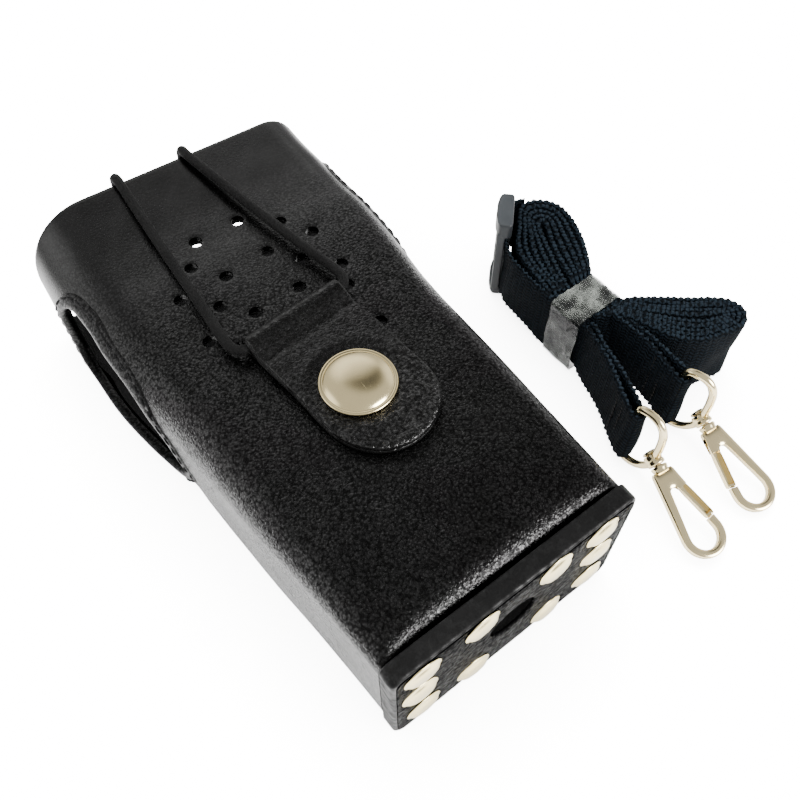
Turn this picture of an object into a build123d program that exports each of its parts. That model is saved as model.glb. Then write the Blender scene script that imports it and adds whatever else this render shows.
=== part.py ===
from build123d import *
import math
import os

os.makedirs("parts", exist_ok=True)

# Belt case for a handheld two-way radio, lying on its back, with its folded shoulder strap beside it.
# Millimetres. X runs across the case, Y from the base plate to the open end, Z up from the surface
# it rests on, so the front faces up. Left is -X; the strap lies on the +X side.
# Every y below is measured from the base plate's outer face. export() then moves the origin to the
# middle of the base plate's rear edge.

# ---------------------------------------------------------------- driving dimensions
PLATE_W = 54.85          # base plate width
PLATE_D = 33.3           # base plate depth, front to back
PLATE_T = 4.0            # base plate thickness, facing included
FACING_T = 0.7           # textured facing on the plate's outer face
CASE_L = 126.0           # base plate's outer face to the rim of the open end
SHELL_T = 1.4            # moulded leather
FLANGE_T = 1.2           # shell's closed end
SHELL_Y0 = 4.05          # outside of the closed end, against the plate
SHELL_IN = SHELL_Y0 + FLANGE_T
SHELL_REAR_Z = 2.7       # underside of the shell's turned-under edges
FRONT_Z = 33.3           # front face near the plate
REAR_Z = 2.6             # underside of the back panel
LINING_T = 0.5
LINING_GAP = 0.2
BOARD_T = 0.8            # stiffener in the back
SNAP_AT = (1.0, 48.1)    # axis of stud, socket and cap
CORD_R = 1.1             # elastic cord
WIRE_R = 0.9             # hook eyes
RIVET_FIT = 0.03         # radial clearance of the drilled rivet holes


# ---------------------------------------------------------------- helpers
def export(shape, name):
    export_step(Pos(0, -PLATE_T / 2, 0) * shape, "parts/" + name + ".step")


def fuse(shapes):
    total = shapes[0]
    for shape in shapes[1:]:
        total = total + shape
    return total


def box(x0, x1, y0, y1, z0, z1):
    return Pos((x0 + x1) / 2, (y0 + y1) / 2, (z0 + z1) / 2) * Box(x1 - x0, y1 - y0, z1 - z0)


def disc(x, y, z0, z1, radius):
    """Upright cylinder from z0 to z1."""
    return Pos(x, y, (z0 + z1) / 2) * Cylinder(radius, z1 - z0)


def rod(start, end, radius):
    start, end = Vector(*start), Vector(*end)
    return Solid.make_cylinder(radius, (end - start).length, Plane(origin=start, z_dir=end - start))


def y_rod(x, z, radius, y0, y1):
    return rod((x, y0, z), (x, y1, z), radius)


def ball(point, radius):
    return Pos(*point) * Sphere(radius)


def bent_bar(points, radius):
    """Round bar along straight pieces, with a ball at every point."""
    rods = [rod(start, end, radius) for start, end in zip(points, points[1:])]
    return fuse(rods + [ball(point, radius) for point in points])


def prism_xy(points, z0, z1):
    return Pos(0, 0, z0) * extrude(make_face(Polyline([*points, points[0]])), z1 - z0)


def prism_yz(points, x0, x1):
    """Straight-sided outline in (y, z), from x0 to x1."""
    face = Face(Wire(Polyline([(x0, y, z) for y, z in points], close=True)))
    return Solid.extrude(face, Vector(x1 - x0, 0, 0))


def smooth_yz(points, x0, x1):
    """Closed spline through (y, z) points, from x0 to x1."""
    face = Face(Wire([Spline([(x0, y, z) for y, z in points], periodic=True)]))
    return Solid.extrude(face, Vector(x1 - x0, 0, 0))


def mirrored(rows):
    """Plan outline, symmetric about x = 0, from (y, half width) rows."""
    first_y, first_half = rows[0]
    right = [(half, y) for y, half in rows]
    left = [(-half, y) for y, half in reversed(rows[1:])]
    return [(-first_half, first_y)] + right + left


def circle_points(x, y, radius, count=32):
    angles = [2 * math.pi * i / count for i in range(count)]
    return [(x + radius * math.cos(a), y + radius * math.sin(a)) for a in angles]


def hull(points):
    """Convex hull of 2D points."""
    ordered = sorted(set(points))

    def turn(a, b, c):
        return (b[0] - a[0]) * (c[1] - a[1]) - (b[1] - a[1]) * (c[0] - a[0])

    def chain(sequence):
        kept = []
        for point in sequence:
            while len(kept) > 1 and turn(kept[-2], kept[-1], point) <= 0:
                kept.pop()
            kept.append(point)
        return kept[:-1]

    return chain(ordered) + chain(ordered[::-1])


def ribbon(points, thickness):
    """Outline of a strip of even thickness along a centre line in plan."""
    one_side, other_side = [], []
    for i, (x, y) in enumerate(points):
        before, after = points[max(i - 1, 0)], points[min(i + 1, len(points) - 1)]
        dx, dy = after[0] - before[0], after[1] - before[1]
        length = math.hypot(dx, dy)
        off_x, off_y = -dy / length * thickness / 2, dx / length * thickness / 2
        one_side.append((x + off_x, y + off_y))
        other_side.append((x - off_x, y - off_y))
    return one_side + other_side[::-1]


def curve(table, y):
    """Cubic curve through a table of (y, value) rows, held constant past its ends."""
    if y <= table[0][0]:
        return table[0][1]
    if y >= table[-1][0]:
        return table[-1][1]
    last = len(table) - 1
    i = max(k for k in range(last) if table[k][0] <= y)

    def slope(k):
        before, after = table[max(k - 1, 0)], table[min(k + 1, last)]
        return (after[1] - before[1]) / (after[0] - before[0])

    (y0, value0), (y1, value1) = table[i], table[i + 1]
    step = y1 - y0
    t = (y - y0) / step
    return (
        (2 * t**3 - 3 * t**2 + 1) * value0
        + (t**3 - 2 * t**2 + t) * step * slope(i)
        + (-2 * t**3 + 3 * t**2) * value1
        + (t**3 - t**2) * step * slope(i + 1)
    )


# ---------------------------------------------------------------- case form, (y, value) rows
HALF_LEFT = [
    (0, 27.4), (5, 27.4), (23, 28.5), (36, 29.6), (50, 30.4), (66, 31.4),
    (80, 33.9), (92, 35.3), (106, 35.6), (119, 35.2), (127, 35.5),
]
HALF_RIGHT = [
    (0, 27.4), (5, 27.4), (23, 28.5), (36, 29.6), (50, 30.4), (66, 31.4),
    (80, 33.7), (92, 35.1), (106, 35.7), (119, 35.7), (127, 36.0),
]
FRONT = [(0, 33.3), (60, 33.3), (80, 33.2), (92, 32.9), (102, 32.7), (114, 33.4), (127, 35.0)]
# rise of the front face per millimetre of x
TILT = [(0, 0.0), (70, 0.0), (100, -0.015), (127, -0.055)]
FRONT_LEFT_R = [(0, 4.0), (15, 4.2), (40, 6.5), (70, 10.0), (100, 14.0), (127, 15.5)]
FRONT_RIGHT_R = [(0, 4.0), (15, 4.2), (40, 5.5), (70, 6.5), (100, 7.5), (127, 8.0)]
REAR_R = 3.5
STATIONS = [16, 32, 48, 64, 74, 84, 94, 106, 118, CASE_L]


def section(y, inset, rear_lift):
    """Outline of the case at y, four corner arcs joined by lines, moved inward by inset."""
    left, right = -curve(HALF_LEFT, y) + inset, curve(HALF_RIGHT, y) - inset
    front, rear = curve(FRONT, y) - inset, SHELL_REAR_Z + rear_lift + inset
    left_r, right_r = curve(FRONT_LEFT_R, y) - inset, curve(FRONT_RIGHT_R, y) - inset
    rear_r = max(1.0, REAR_R - inset)
    tilt = curve(TILT, y)

    def corner(x, z, radius, start):
        points = []
        for angle in (start, start + 45, start + 90):
            px = x + radius * math.cos(math.radians(angle))
            pz = z + radius * math.sin(math.radians(angle))
            points.append((px, y, pz + tilt * px * (pz - rear) / (front - rear)))
        return points

    corners = [
        corner(right - right_r, front - right_r, right_r, 0),
        corner(left + left_r, front - left_r, left_r, 90),
        corner(left + rear_r, rear + rear_r, rear_r, 180),
        corner(right - rear_r, rear + rear_r, rear_r, 270),
    ]
    edges = []
    for i, arc in enumerate(corners):
        edges.append(ThreePointArc(*arc))
        edges.append(Line(arc[2], corners[(i + 1) % 4][0]))
    return Face(Wire(edges))


def skin(inset, rear_lift, stations):
    return loft([section(y, inset, rear_lift) for y in stations])


# ---------------------------------------------------------------- side windows and speaker holes
# (y, z) outline of each window, narrowing towards the plate
WINDOW = [
    (112.6, 14), (111.8, 21.5), (108.3, 26.2), (100, 27.6), (90, 27.6),
    (80, 26.8), (73.5, 23.6), (69.6, 17.5), (67.8, 11.5), (68.0, 8.0),
    (71, 6.2), (80, 5.6), (95, 5.6), (106, 5.8), (111, 8.6),
]
TRIM_W = 3.0
TRIM_T = 0.45
TRIM_GAP = 0.05
HOLE_R = 1.5
# (x, y) of the speaker holes
SPEAKER = [
    (-4, 101.6), (6.6, 101.9), (-8.6, 95.4), (13.9, 95.8), (-14.7, 89), (-3.9, 88.9), (6.8, 89.8),
    (17.8, 88.8), (-9.1, 82.5), (11.5, 83.2), (-15.4, 76.1), (-4.2, 76.7), (6.6, 77), (17.3, 77.1),
    (-12.1, 71.3), (14.9, 71.4), (-4.2, 64.6), (6.8, 64.6), (-8.8, 59.4), (14.5, 59.4),
]

window_left = smooth_yz(WINDOW, -45, -20)
window_right = smooth_yz(WINDOW, 20, 45)
speaker_holes = fuse([disc(x, y, 26, 40, HOLE_R) for x, y in SPEAKER])


def grown(points, distance):
    """Each point of a counterclockwise outline moved outward, square to its neighbours' chord."""
    out = []
    for i, (y, z) in enumerate(points):
        (y0, z0), (y1, z1) = points[i - 1], points[(i + 1) % len(points)]
        dy, dz = y1 - y0, z1 - z0
        length = math.hypot(dy, dz)
        out.append((y + dz / length * distance, z - dy / length * distance))
    return out


def make_trims():
    """Left and right bands round the windows, on the outside of the shell."""
    stations = STATIONS[3:-1]
    layer = skin(-TRIM_T - TRIM_GAP, 0, stations) - skin(-TRIM_GAP, 0, stations)
    border = smooth_yz(grown(WINDOW, TRIM_W), -45, 45) - smooth_yz(WINDOW, -46, 46)
    trim = layer & border
    z0 = SHELL_REAR_Z + 0.3
    return trim & box(-45, -20, 50, 123, z0, 40), trim & box(20, 45, 50, 123, z0, 40)


# ---------------------------------------------------------------- rivets through the back
# each head and stem is (z0, z1, radius)
LOOP_HEAD, LOOP_STEM = (0.26, 1.06, 3.0), (1.0, 4.8, 1.0)
LOOP_RIVETS = [(x, y) for x in (-11.0, 11.0) for y in (34.2, 87.8)]

RING_XS = (-22.0, 22.0)
RING_Y = 110.0
KEEPER_HEAD, KEEPER_STEM = (1.01, 1.77, 1.6), (1.6, 4.8, 0.8)
KEEPER_RIVETS = [(x, RING_Y + dy) for x in RING_XS for dy in (-6.0, 6.0)]

PATCH_HEAD, PATCH_STEM = (0.25, 1.05, 2.2), (1.0, 4.8, 0.9)
PATCH_RIVETS = [(-1.2, 111.2), (-1.2, 118.4)]


def make_rivets(places, head, stem):
    return Compound(children=[disc(x, y, *head) + disc(x, y, *stem) for x, y in places])


def make_drill():
    """All the rivet holes, with room for the heads in the cord patch."""
    holes = [disc(x, y, 0.5, 5.5, LOOP_STEM[2] + RIVET_FIT) for x, y in LOOP_RIVETS]
    holes += [disc(x, y, 0.5, 5.5, KEEPER_STEM[2] + RIVET_FIT) for x, y in KEEPER_RIVETS]
    for x, y in PATCH_RIVETS:
        holes.append(disc(x, y, -0.25, 6.25, PATCH_STEM[2] + RIVET_FIT))
        holes.append(disc(x, y, 0.22, 1.08, PATCH_HEAD[2] + 0.05))
    return fuse(holes)


drill = make_drill()

# ---------------------------------------------------------------- base plate, pad and rivets
RIVETS = [  # (x, z)
    (-21.4, 28.8), (-21.8, 18.6), (-20.8, 7.0), (-8.7, 28.8), (-8.8, 5.0),
    (8.0, 28.8), (9.8, 5.0), (19.2, 28.8), (20.1, 18.5), (20.4, 7.0),
]
RIVET_R = 3.9            # caps
DOME_R = 8.1             # sphere of the cap's crown
CAP_H = 1.4
STEM_R = 1.3
STEM_HOLE_R = STEM_R + 0.05
FACING_INSET = 0.8
PAD_Y = SHELL_IN + 0.05
PAD_T = 1.2
PAD_IN = PAD_Y + PAD_T

rivet_room = fuse([
    y_rod(x, z, STEM_HOLE_R, -1, 6.55) + y_rod(x, z, 2.15, 6.49, 7.1) for x, z in RIVETS
])
centre_hole = y_rod(-0.6, 18.7, 5.3, -1, 8)


def slab(width, thickness, height, y, z, corner_r):
    """Upright plate centred at (0, y, z), with rounded corners."""
    block = Pos(0, y, z) * Box(width, thickness, height)
    return fillet(block.edges().filter_by(Axis.Y), corner_r)


def make_plate():
    plate = slab(PLATE_W, PLATE_T - FACING_T, PLATE_D, (PLATE_T + FACING_T) / 2, PLATE_D / 2, 2.2)
    plate = fillet(plate.edges().group_by(Axis.Y)[0], 0.5)
    return plate - rivet_room - centre_hole


def make_facing():
    width, height = PLATE_W - 2 * FACING_INSET, PLATE_D - 2 * FACING_INSET
    facing = slab(width, FACING_T, height, FACING_T / 2, PLATE_D / 2, 1.8)
    return facing - rivet_room - centre_hole


def make_pad():
    """Pad inside the closed end."""
    pad = slab(49.0, PAD_T, 25.8, PAD_Y + PAD_T / 2, 17.1, 2.5)
    return pad - fuse([y_rod(x, z, STEM_HOLE_R, 5, 7) for x, z in RIVETS]) - centre_hole


def make_base_cap(x, z):
    crown = ball((0, 0, CAP_H - DOME_R), DOME_R) & disc(0, 0, 0.3, 1.5, RIVET_R)
    dome = Pos(x, 0, z) * Rot(90, 0, 0) * (disc(0, 0, 0, 0.4, RIVET_R) + crown)
    return dome + y_rod(x, z, STEM_R, -0.1, 2.2)


def make_base_post(x, z):
    return y_rod(x, z, STEM_R, 2.25, PAD_IN) + y_rod(x, z, 2.1, PAD_IN, PAD_IN + 0.5)


# ---------------------------------------------------------------- snap stud on the front
STUD_R = 2.2

stud = fuse([
    disc(*SNAP_AT, FRONT_Z - 0.4, FRONT_Z, 4.5),
    disc(*SNAP_AT, FRONT_Z, FRONT_Z + 0.8, 1.9),
    disc(*SNAP_AT, FRONT_Z + 0.5, FRONT_Z + 1.2, STUD_R),
])
stud_post = fuse([
    disc(*SNAP_AT, FRONT_Z - 1.375, FRONT_Z - 0.425, 1.5),
    disc(*SNAP_AT, FRONT_Z - SHELL_T - 0.47, FRONT_Z - SHELL_T + 0.03, 4.0),
])

# ---------------------------------------------------------------- shell, back panel, board, lining
# (y, half width) rows
PANEL = [(8.5, 20.5), (40, 22.5), (70, 24.5), (100, 27.5), (CASE_L, 28.0)]
BOARD = [(32, 24.5), (70, 25.5), (100, 28.5), (124, 29)]
PANEL_FIT = 0.1
BOARD_Z = SHELL_REAR_Z + SHELL_T + 0.05
# (y, z) wedge that leans the front inward over its first millimetres by the plate
FRONT_LEAN = [(3.9, 32.1), (3.9, 34.5), (7.4, 34.5), (7.4, 33.35)]


def make_shell():
    outer = skin(0, 0, [SHELL_Y0] + STATIONS)
    inner = skin(SHELL_T, 0, [SHELL_IN] + STATIONS[:-1] + [CASE_L + 1])
    wall = outer - inner - prism_yz(FRONT_LEAN, -24.5, 24.5)
    (start, start_half), (_, end_half) = PANEL[0], PANEL[-1]
    rows = [(start - PANEL_FIT, start_half), *PANEL[1:-1], (CASE_L + 3, end_half)]
    panel_gap = mirrored([(y, half + PANEL_FIT) for y, half in rows])
    shell = wall - prism_xy(panel_gap, -1, 4.6) - window_left - window_right - speaker_holes
    end_opening = box(-19, 19, 3.5, SHELL_IN + 0.05, 11, 24)
    return shell - stud - stud_post - rivet_room - end_opening - drill


def make_lining():
    inset = SHELL_T + LINING_GAP
    lift = BOARD_T + 0.15
    between = STATIONS[:-1]
    outer = skin(inset, lift, [9.0, *between, 124.5])
    inner = skin(inset + LINING_T, lift, [8.0, *between, 125.5])
    lining = outer - inner - window_left - window_right - speaker_holes
    return lining - disc(*SNAP_AT, 26, 34, 5.0)


# ---------------------------------------------------------------- belt loop, D-rings and keepers
LOOP_HALF_W = 17.0
LOOP = [  # (y, z)
    (30, 2.58), (30, 1.1), (39.5, 1.1), (42, 0.1), (80, 0.1), (82.5, 1.1),
    (92, 1.1), (92, 2.58), (82.9, 2.58), (80.4, 1.6), (41.6, 1.6), (39.1, 2.58),
]
KEEPER_HALF_W = 4
KEEPER = [  # (y, z)
    (102, 1.8), (106.0, 1.8), (107.6, 0.12), (112.4, 0.12), (114.0, 1.8), (118, 1.8),
    (118, 2.58), (110.9, 2.58), (110.9, 0.88), (109.1, 0.88), (109.1, 2.58), (102, 2.58),
]
RING_R = 0.8             # wire
RING_Z = 1.75
RING = [  # (x, y) from the middle of the straight side
    (-6.5, 0), (-6.5, 4.5), (-5.6, 8.0), (-3.2, 10.4), (0, 11.2),
    (3.2, 10.4), (5.6, 8.0), (6.5, 4.5), (6.5, 0),
]


def make_keeper(x):
    return prism_yz(KEEPER, x - KEEPER_HALF_W, x + KEEPER_HALF_W) - drill


def make_ring(x):
    points = [(x + dx, RING_Y + dy, RING_Z) for dx, dy in RING]
    return bent_bar(points + [points[0]], RING_R)


# ---------------------------------------------------------------- elastic cord and its patch
CORD_XS = (-9.6, 7.2)
PIVOT_Y, PIVOT_Z = 127.3, 4.0    # where the moving loop starts, past the rim
END_HALF_W = 1.45                # flattened cord ends under the patch
TAB_TURN = 4.4                   # the tab sits slightly turned on the front, degrees
FOLD_X, FOLD_Y, FOLD_Z = 0.55, 69.0, 35.75    # middle of the cord in the tab's fold
# cord bend beside the fold: distance out along the fold, distance towards the rim
BEND = [(13.9, 2.6), (13.5, 1.1), (12.6, 0.25), (11.9, 0)]


def make_patch():
    patch = box(-13.6, 11.2, 108, 121.4, 0.45, 2.56)
    half = END_HALF_W + 0.1
    for x in CORD_XS:
        patch = patch - box(x - half, x + half, 107, 122, 1.28, 3)
    return patch - drill


def make_cord_end(x):
    inner, bend, tip = (x, 121.5, 1.43), (x, 125.6, 1.36), (x, 127.15, 1.6)
    end = fuse([
        box(x - END_HALF_W, x + END_HALF_W, 109, 122.2, 1.34, 2.54),
        rod(inner, bend, CORD_R),
        ball(bend, CORD_R),
        rod(bend, tip, CORD_R),
        ball(tip, CORD_R),
    ])
    return end & box(x - 2, x + 2, 100, 129, 0.2, PIVOT_Z - CORD_R - 0.1)


def cord_leg(x):
    """Cord points from the pivot up and over the rim."""
    rim_z = curve(FRONT, CASE_L) + curve(TILT, CASE_L) * x + CORD_R + 0.15
    return [
        (x, PIVOT_Y, PIVOT_Z),
        (x, PIVOT_Y, rim_z - 1.5),
        (x, PIVOT_Y - 0.5, rim_z - 0.3),
        (x, PIVOT_Y - 1.8, rim_z + 0.05),
    ]


def fold_point(along, out):
    cos, sin = math.cos(math.radians(TAB_TURN)), math.sin(math.radians(TAB_TURN))
    return (FOLD_X + along * cos - out * sin, FOLD_Y + along * sin + out * cos, FOLD_Z)


def make_cord():
    left_bend = [fold_point(-along, out) for along, out in BEND]
    right_bend = [fold_point(along, out) for along, out in BEND[::-1]]
    left_leg, right_leg = cord_leg(CORD_XS[0]), cord_leg(CORD_XS[1])
    return bent_bar(left_leg + left_bend + right_bend + right_leg[::-1], CORD_R)


# ---------------------------------------------------------------- snap tab, cap and socket
TAB_W = 23.3
TAB_L = 37.0
TAB_END_R = 11.5
TAB_Z0, TAB_Z1 = 34.1, 36.6
FOLD_R = 2.15
SOCKET_R = 5.2
SOCKET_BORE_R = 3.1
SOCKET_TOP = 35.3
CAP_R = 7.5
CAP_STEM_R = 2.0
CROWN_R = 15.0           # sphere of the cap's crown
CROWN_Z0, CROWN_TOP = 37.4, 39.0


def make_tab():
    """Flat tab with a rounded end, folded round the cord at y = 0 of its own frame."""
    half = TAB_W / 2
    end_y = -(TAB_L - TAB_END_R)
    angles = [math.radians(a) for a in range(0, 181, 6)]
    arc = [(-TAB_END_R * math.cos(a), end_y - TAB_END_R * math.sin(a)) for a in angles]
    fold = hull(circle_points(0, FOLD_Z, FOLD_R, 40) + [(-5.0, TAB_Z0), (-5.0, TAB_Z1)])
    tab = prism_xy([(-half, 0), *arc, (half, 0)], TAB_Z0, TAB_Z1) + prism_yz(fold, -half, half)
    tab = tab - rod((-20, 0, FOLD_Z), (20, 0, FOLD_Z), CORD_R + 0.07)
    tab = Location((FOLD_X, FOLD_Y, 0), (0, 0, TAB_TURN)) * tab
    tab = tab - disc(*SNAP_AT, 34.0, SOCKET_TOP, SOCKET_R)
    return tab - disc(*SNAP_AT, 34.5, 37.5, CAP_STEM_R)


def make_socket():
    body = disc(*SNAP_AT, 33.5, SOCKET_TOP, SOCKET_R)
    return body - disc(*SNAP_AT, 33.4, 34.75, SOCKET_BORE_R) - disc(*SNAP_AT, 34, 36, CAP_STEM_R)


def make_cap():
    crown = ball((*SNAP_AT, CROWN_TOP - CROWN_R), CROWN_R) & disc(*SNAP_AT, CROWN_Z0, 39.4, 6.7)
    return fuse([
        disc(*SNAP_AT, 36.6, CROWN_Z0, CAP_R),
        crown,
        disc(*SNAP_AT, 34.95, 36.65, CAP_STEM_R),
    ])


# ---------------------------------------------------------------- folded strap, band and slider
WEB_Z0, WEB_Z1 = 0.3, 19.7       # webbing stands on edge
WEB_FAR = [  # (x, y), folds on the open-end side of the band
    (57.2, 50.6), (57.6, 58), (58.6, 64), (59.9, 67.2), (64.1, 71.4), (68.0, 75.4),
    (70.6, 77.2), (74.9, 75.7), (78.1, 70.7), (77.5, 65.5), (75, 59.7), (69.4, 50.6),
]
WEB_NEAR = [  # (x, y), folds on the base-plate side of the band
    (61.5, 40.7), (69.2, 40.7), (74.3, 36.7), (80, 31.7), (85, 28.3), (87.6, 24.8),
    (88.2, 20.5), (85.5, 17.9), (80, 18.6), (73.6, 20), (69.0, 25), (66.5, 32),
]
BAR_1, BAR_2 = (49.3, 16.8), (64.0, 17.2)    # (x, y) of the hook eyes' upright bars
END_1 = [(58.3, 40.2), (55.9, 34), (52.7, 25), (50.1, 18.6), BAR_1]
END_2 = [(64.8, 39), (64.9, 28), (64.3, 20), BAR_2]
END_T = 2.8                      # strap ends leading to the bars
END_Z0, END_Z1 = 2.1, 19.3
STRIP_T = 0.85                   # single strip through the slider
STRIP_ACROSS = -0.32
BAND = (55.4, 69.6, 41.0, 50.4, 0.05, 18.6)    # x0, x1, y0, y1, z0, z1
SLIDER_AT = (62.4, 73.5)
SLIDER_ALONG, SLIDER_ACROSS = (0.70, 0.714), (0.714, -0.70)


def on_slider(along, across):
    return tuple(
        SLIDER_AT[i] + along * SLIDER_ALONG[i] + across * SLIDER_ACROSS[i] for i in (0, 1)
    )


def make_webbing():
    in_slider = [on_slider(along, STRIP_ACROSS) for along in (-7.6, -6.2, 6.2, 7.6)]
    strip = [(57.6, 50.9), (56.3, 55), (56.0, 60), (56.5, 65), *in_slider, (70.5, 78.6), (73, 76.4)]
    web = fuse([
        box(56.0, 69.0, 40.4, 51.1, 0.6, 18.0),
        prism_xy(WEB_FAR, WEB_Z0, WEB_Z1),
        prism_xy(WEB_NEAR, WEB_Z0, WEB_Z1),
        prism_xy(ribbon(strip, STRIP_T), 2.6, WEB_Z1),
        prism_xy(ribbon(END_1, END_T), END_Z0, END_Z1),
        prism_xy(ribbon(END_2, END_T), END_Z0, END_Z1),
        rod((*BAR_1, END_Z0), (*BAR_1, END_Z1), 1.95),
        rod((*BAR_2, END_Z0), (*BAR_2, END_Z1), 1.95),
    ])
    for bar in (BAR_1, BAR_2):
        web = web - rod((*bar, 0), (*bar, 25), WIRE_R + 0.08)
    return web


def make_band():
    x0, x1, y0, y1, z0, z1 = BAND
    band = box(*BAND) - box(x0 + 0.45, x1 - 0.45, y0 - 1, y1 + 1.6, z0 + 0.4, z1 - 0.4)
    return band & fillet(box(*BAND).edges().filter_by(Axis.Y), 0.5)


def make_slider():
    bars = [  # along from, to; across from, to; z from, to
        (-5.5, 5.5, -1.5, 1.5, 0.2, 2.2),
        (-5.5, 5.5, -1.5, 1.5, 20.2, 24.6),
        (-5.5, -3.5, 0.2, 1.5, 0.3, 24.5),
        (3.5, 5.5, 0.2, 1.5, 0.3, 24.5),
        (-1.2, 1.2, -1.5, -0.85, 0.3, 24.5),
    ]
    return fuse([
        prism_xy([on_slider(*p) for p in ((a0, c0), (a1, c0), (a1, c1), (a0, c1))], z0, z1)
        for a0, a1, c0, c1, z0, z1 in bars
    ])


# ---------------------------------------------------------------- swivel hooks
HOOK_L = 23.6            # swivel boss to tip
BOW_R = 5.0              # outside of the bow's end
BOW_T = 1.8
PIN_R = 0.45
# D-shaped eye: (distance from the bar, z)
EYE = [
    (0, 0.98), (2.4, 0.98), (4.7, 1.8), (6.3, 3.6), (7.0, 6.2),
    (7.0, 15.0), (6.3, 17.9), (4.7, 19.6), (2.4, 20.4), (0, 20.4),
]
# bar, plan direction of the eye, swivel boss, tip, side of the gate on the hook's own y
HOOKS = [
    (BAR_1, (0.14, -0.99), (50.28, 9.85, 7.2), (46.95, -13.9, 1.2), 1),
    (BAR_2, (0.35, -0.937), (66.45, 10.62, 6.9), (64.2, -12.0, 1.2), -1),
]


def make_hook(bar, eye_dir, boss_at, tip, side):
    """Eye, body, gate and gate pin. The hook's own x runs to its tip, z out of its flat."""
    origin = Vector(*boss_at)
    axis = (Vector(*tip) - origin).normalized()
    up = (Vector(0, 0, 1) - axis * axis.Z).normalized()
    place = Plane(origin=origin, x_dir=axis, z_dir=up).location

    def turned(start, length, radius):
        """Cylinder on the swivel axis."""
        return Solid.make_cylinder(radius, length, Plane(origin=origin + axis * start, z_dir=axis))

    points = [(bar[0] + out * eye_dir[0], bar[1] + out * eye_dir[1], z) for out, z in EYE]
    eye = bent_bar([points[-1]] + points, WIRE_R) + turned(-1.1, 2.6, 1.95)
    eye = eye - turned(-3, 6, 0.96) - turned(-2.45, 1.35, 1.75)   # bore, room for the head

    end_x = HOOK_L - BOW_R
    outside = hull(circle_points(4.6, 0, 2.7) + circle_points(end_x, 0, BOW_R, 40))
    inside = hull(circle_points(8.2, 0, 1.1) + circle_points(end_x, 0, 3.25, 40))
    bow = prism_xy(outside, -BOW_T / 2, BOW_T / 2) - prism_xy(inside, -BOW_T / 2, BOW_T / 2)

    pivot_x, pivot_y = 6.0, 1.75 * side
    run_x, run_y = end_x - 2.6 - pivot_x, 4.0 * side - pivot_y
    gate_l = math.hypot(run_x, run_y)
    gate_place = Location((pivot_x, pivot_y, 0), (0, 0, math.degrees(math.atan2(run_y, run_x))))
    slot_y0, slot_y1 = (-3.5, 1.6) if side > 0 else (-1.6, 3.5)
    bow = bow - gate_place * fuse([
        box(0, gate_l + 0.25, -1.6, 1.6, -2, 2),
        Cylinder(1.55, 1.1),
        box(-1.0, 3.0, slot_y0, slot_y1, -0.55, 0.55),
    ])
    ears = disc(pivot_x, pivot_y, 0.55, 0.9, 1.25) + disc(pivot_x, pivot_y, -0.9, -0.55, 1.25)
    bow = bow + ears - disc(pivot_x, pivot_y, -2, 2, PIN_R)
    # shank, its peened head, and the collar
    body = place * bow + turned(-2.0, 4.6, 0.9) + turned(-2.0, 0.8, 1.6) + turned(1.6, 1.3, 1.9)

    gate = gate_place * (Cylinder(1.1, 0.96) + box(0.5, gate_l, -0.5, 0.5, -0.48, 0.48))
    gate = gate - disc(pivot_x, pivot_y, -2, 2, PIN_R + 0.05)
    pin = disc(pivot_x, pivot_y, -BOW_T / 2, BOW_T / 2, PIN_R)
    return eye, body, place * gate, place * pin


# ---------------------------------------------------------------- write every piece
trim_left, trim_right = make_trims()
pieces = {
    "outer_shell": make_shell(),
    "back_panel": prism_xy(mirrored(PANEL), REAR_Z, REAR_Z + SHELL_T) - drill,
    "back_stiffener": prism_xy(mirrored(BOARD), BOARD_Z, BOARD_Z + BOARD_T) - drill,
    "pocket_lining": make_lining(),
    "window_trim_left": trim_left,
    "window_trim_right": trim_right,
    "end_plate_core": make_plate(),
    "end_plate_facing": make_facing(),
    "base_pad": make_pad(),
    "base_rivet_caps": Compound(children=[make_base_cap(x, z) for x, z in RIVETS]),
    "base_rivet_posts": Compound(children=[make_base_post(x, z) for x, z in RIVETS]),
    "snap_stud": stud,
    "snap_stud_post": stud_post,
    "belt_loop": prism_yz(LOOP, -LOOP_HALF_W, LOOP_HALF_W) - drill,
    "belt_loop_rivets": make_rivets(LOOP_RIVETS, LOOP_HEAD, LOOP_STEM),
    "ring_keeper_rivets": make_rivets(KEEPER_RIVETS, KEEPER_HEAD, KEEPER_STEM),
    "cord_anchor_patch": make_patch(),
    "cord_anchor_rivets": make_rivets(PATCH_RIVETS, PATCH_HEAD, PATCH_STEM),
    "cord_ends": Compound(children=[make_cord_end(x) for x in CORD_XS]),
    "elastic_cord": make_cord(),
    "snap_tab": make_tab(),
    "snap_cap": make_cap(),
    "snap_socket": make_socket(),
    "strap_webbing": make_webbing(),
    "bundle_band": make_band(),
    "strap_slider": make_slider(),
}
for side_name, ring_x in zip(("left", "right"), RING_XS):
    pieces["ring_keeper_" + side_name] = make_keeper(ring_x)
    pieces["d_ring_" + side_name] = make_ring(ring_x)
for number, hook in enumerate(HOOKS, start=1):
    for part_name, part in zip(("eye", "body", "gate", "gate_pin"), make_hook(*hook)):
        pieces[f"hook_{part_name}_{number}"] = part
for name, shape in pieces.items():
    export(shape, name)
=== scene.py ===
"""Leather case with a snap tab, elastic cord, belt loop and D-rings, beside its folded
webbing strap with two hooks.

The case lies on its back. x runs across it (left is -x), y from the base plate to the open
mouth, z up from the floor, so its front faces +z. Sizes are in millimetres until a mesh is
made, and y is counted from the base plate's outer face.
"""
import bpy
import bmesh
import math
import numpy as np
from mathutils import Vector, Matrix


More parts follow.
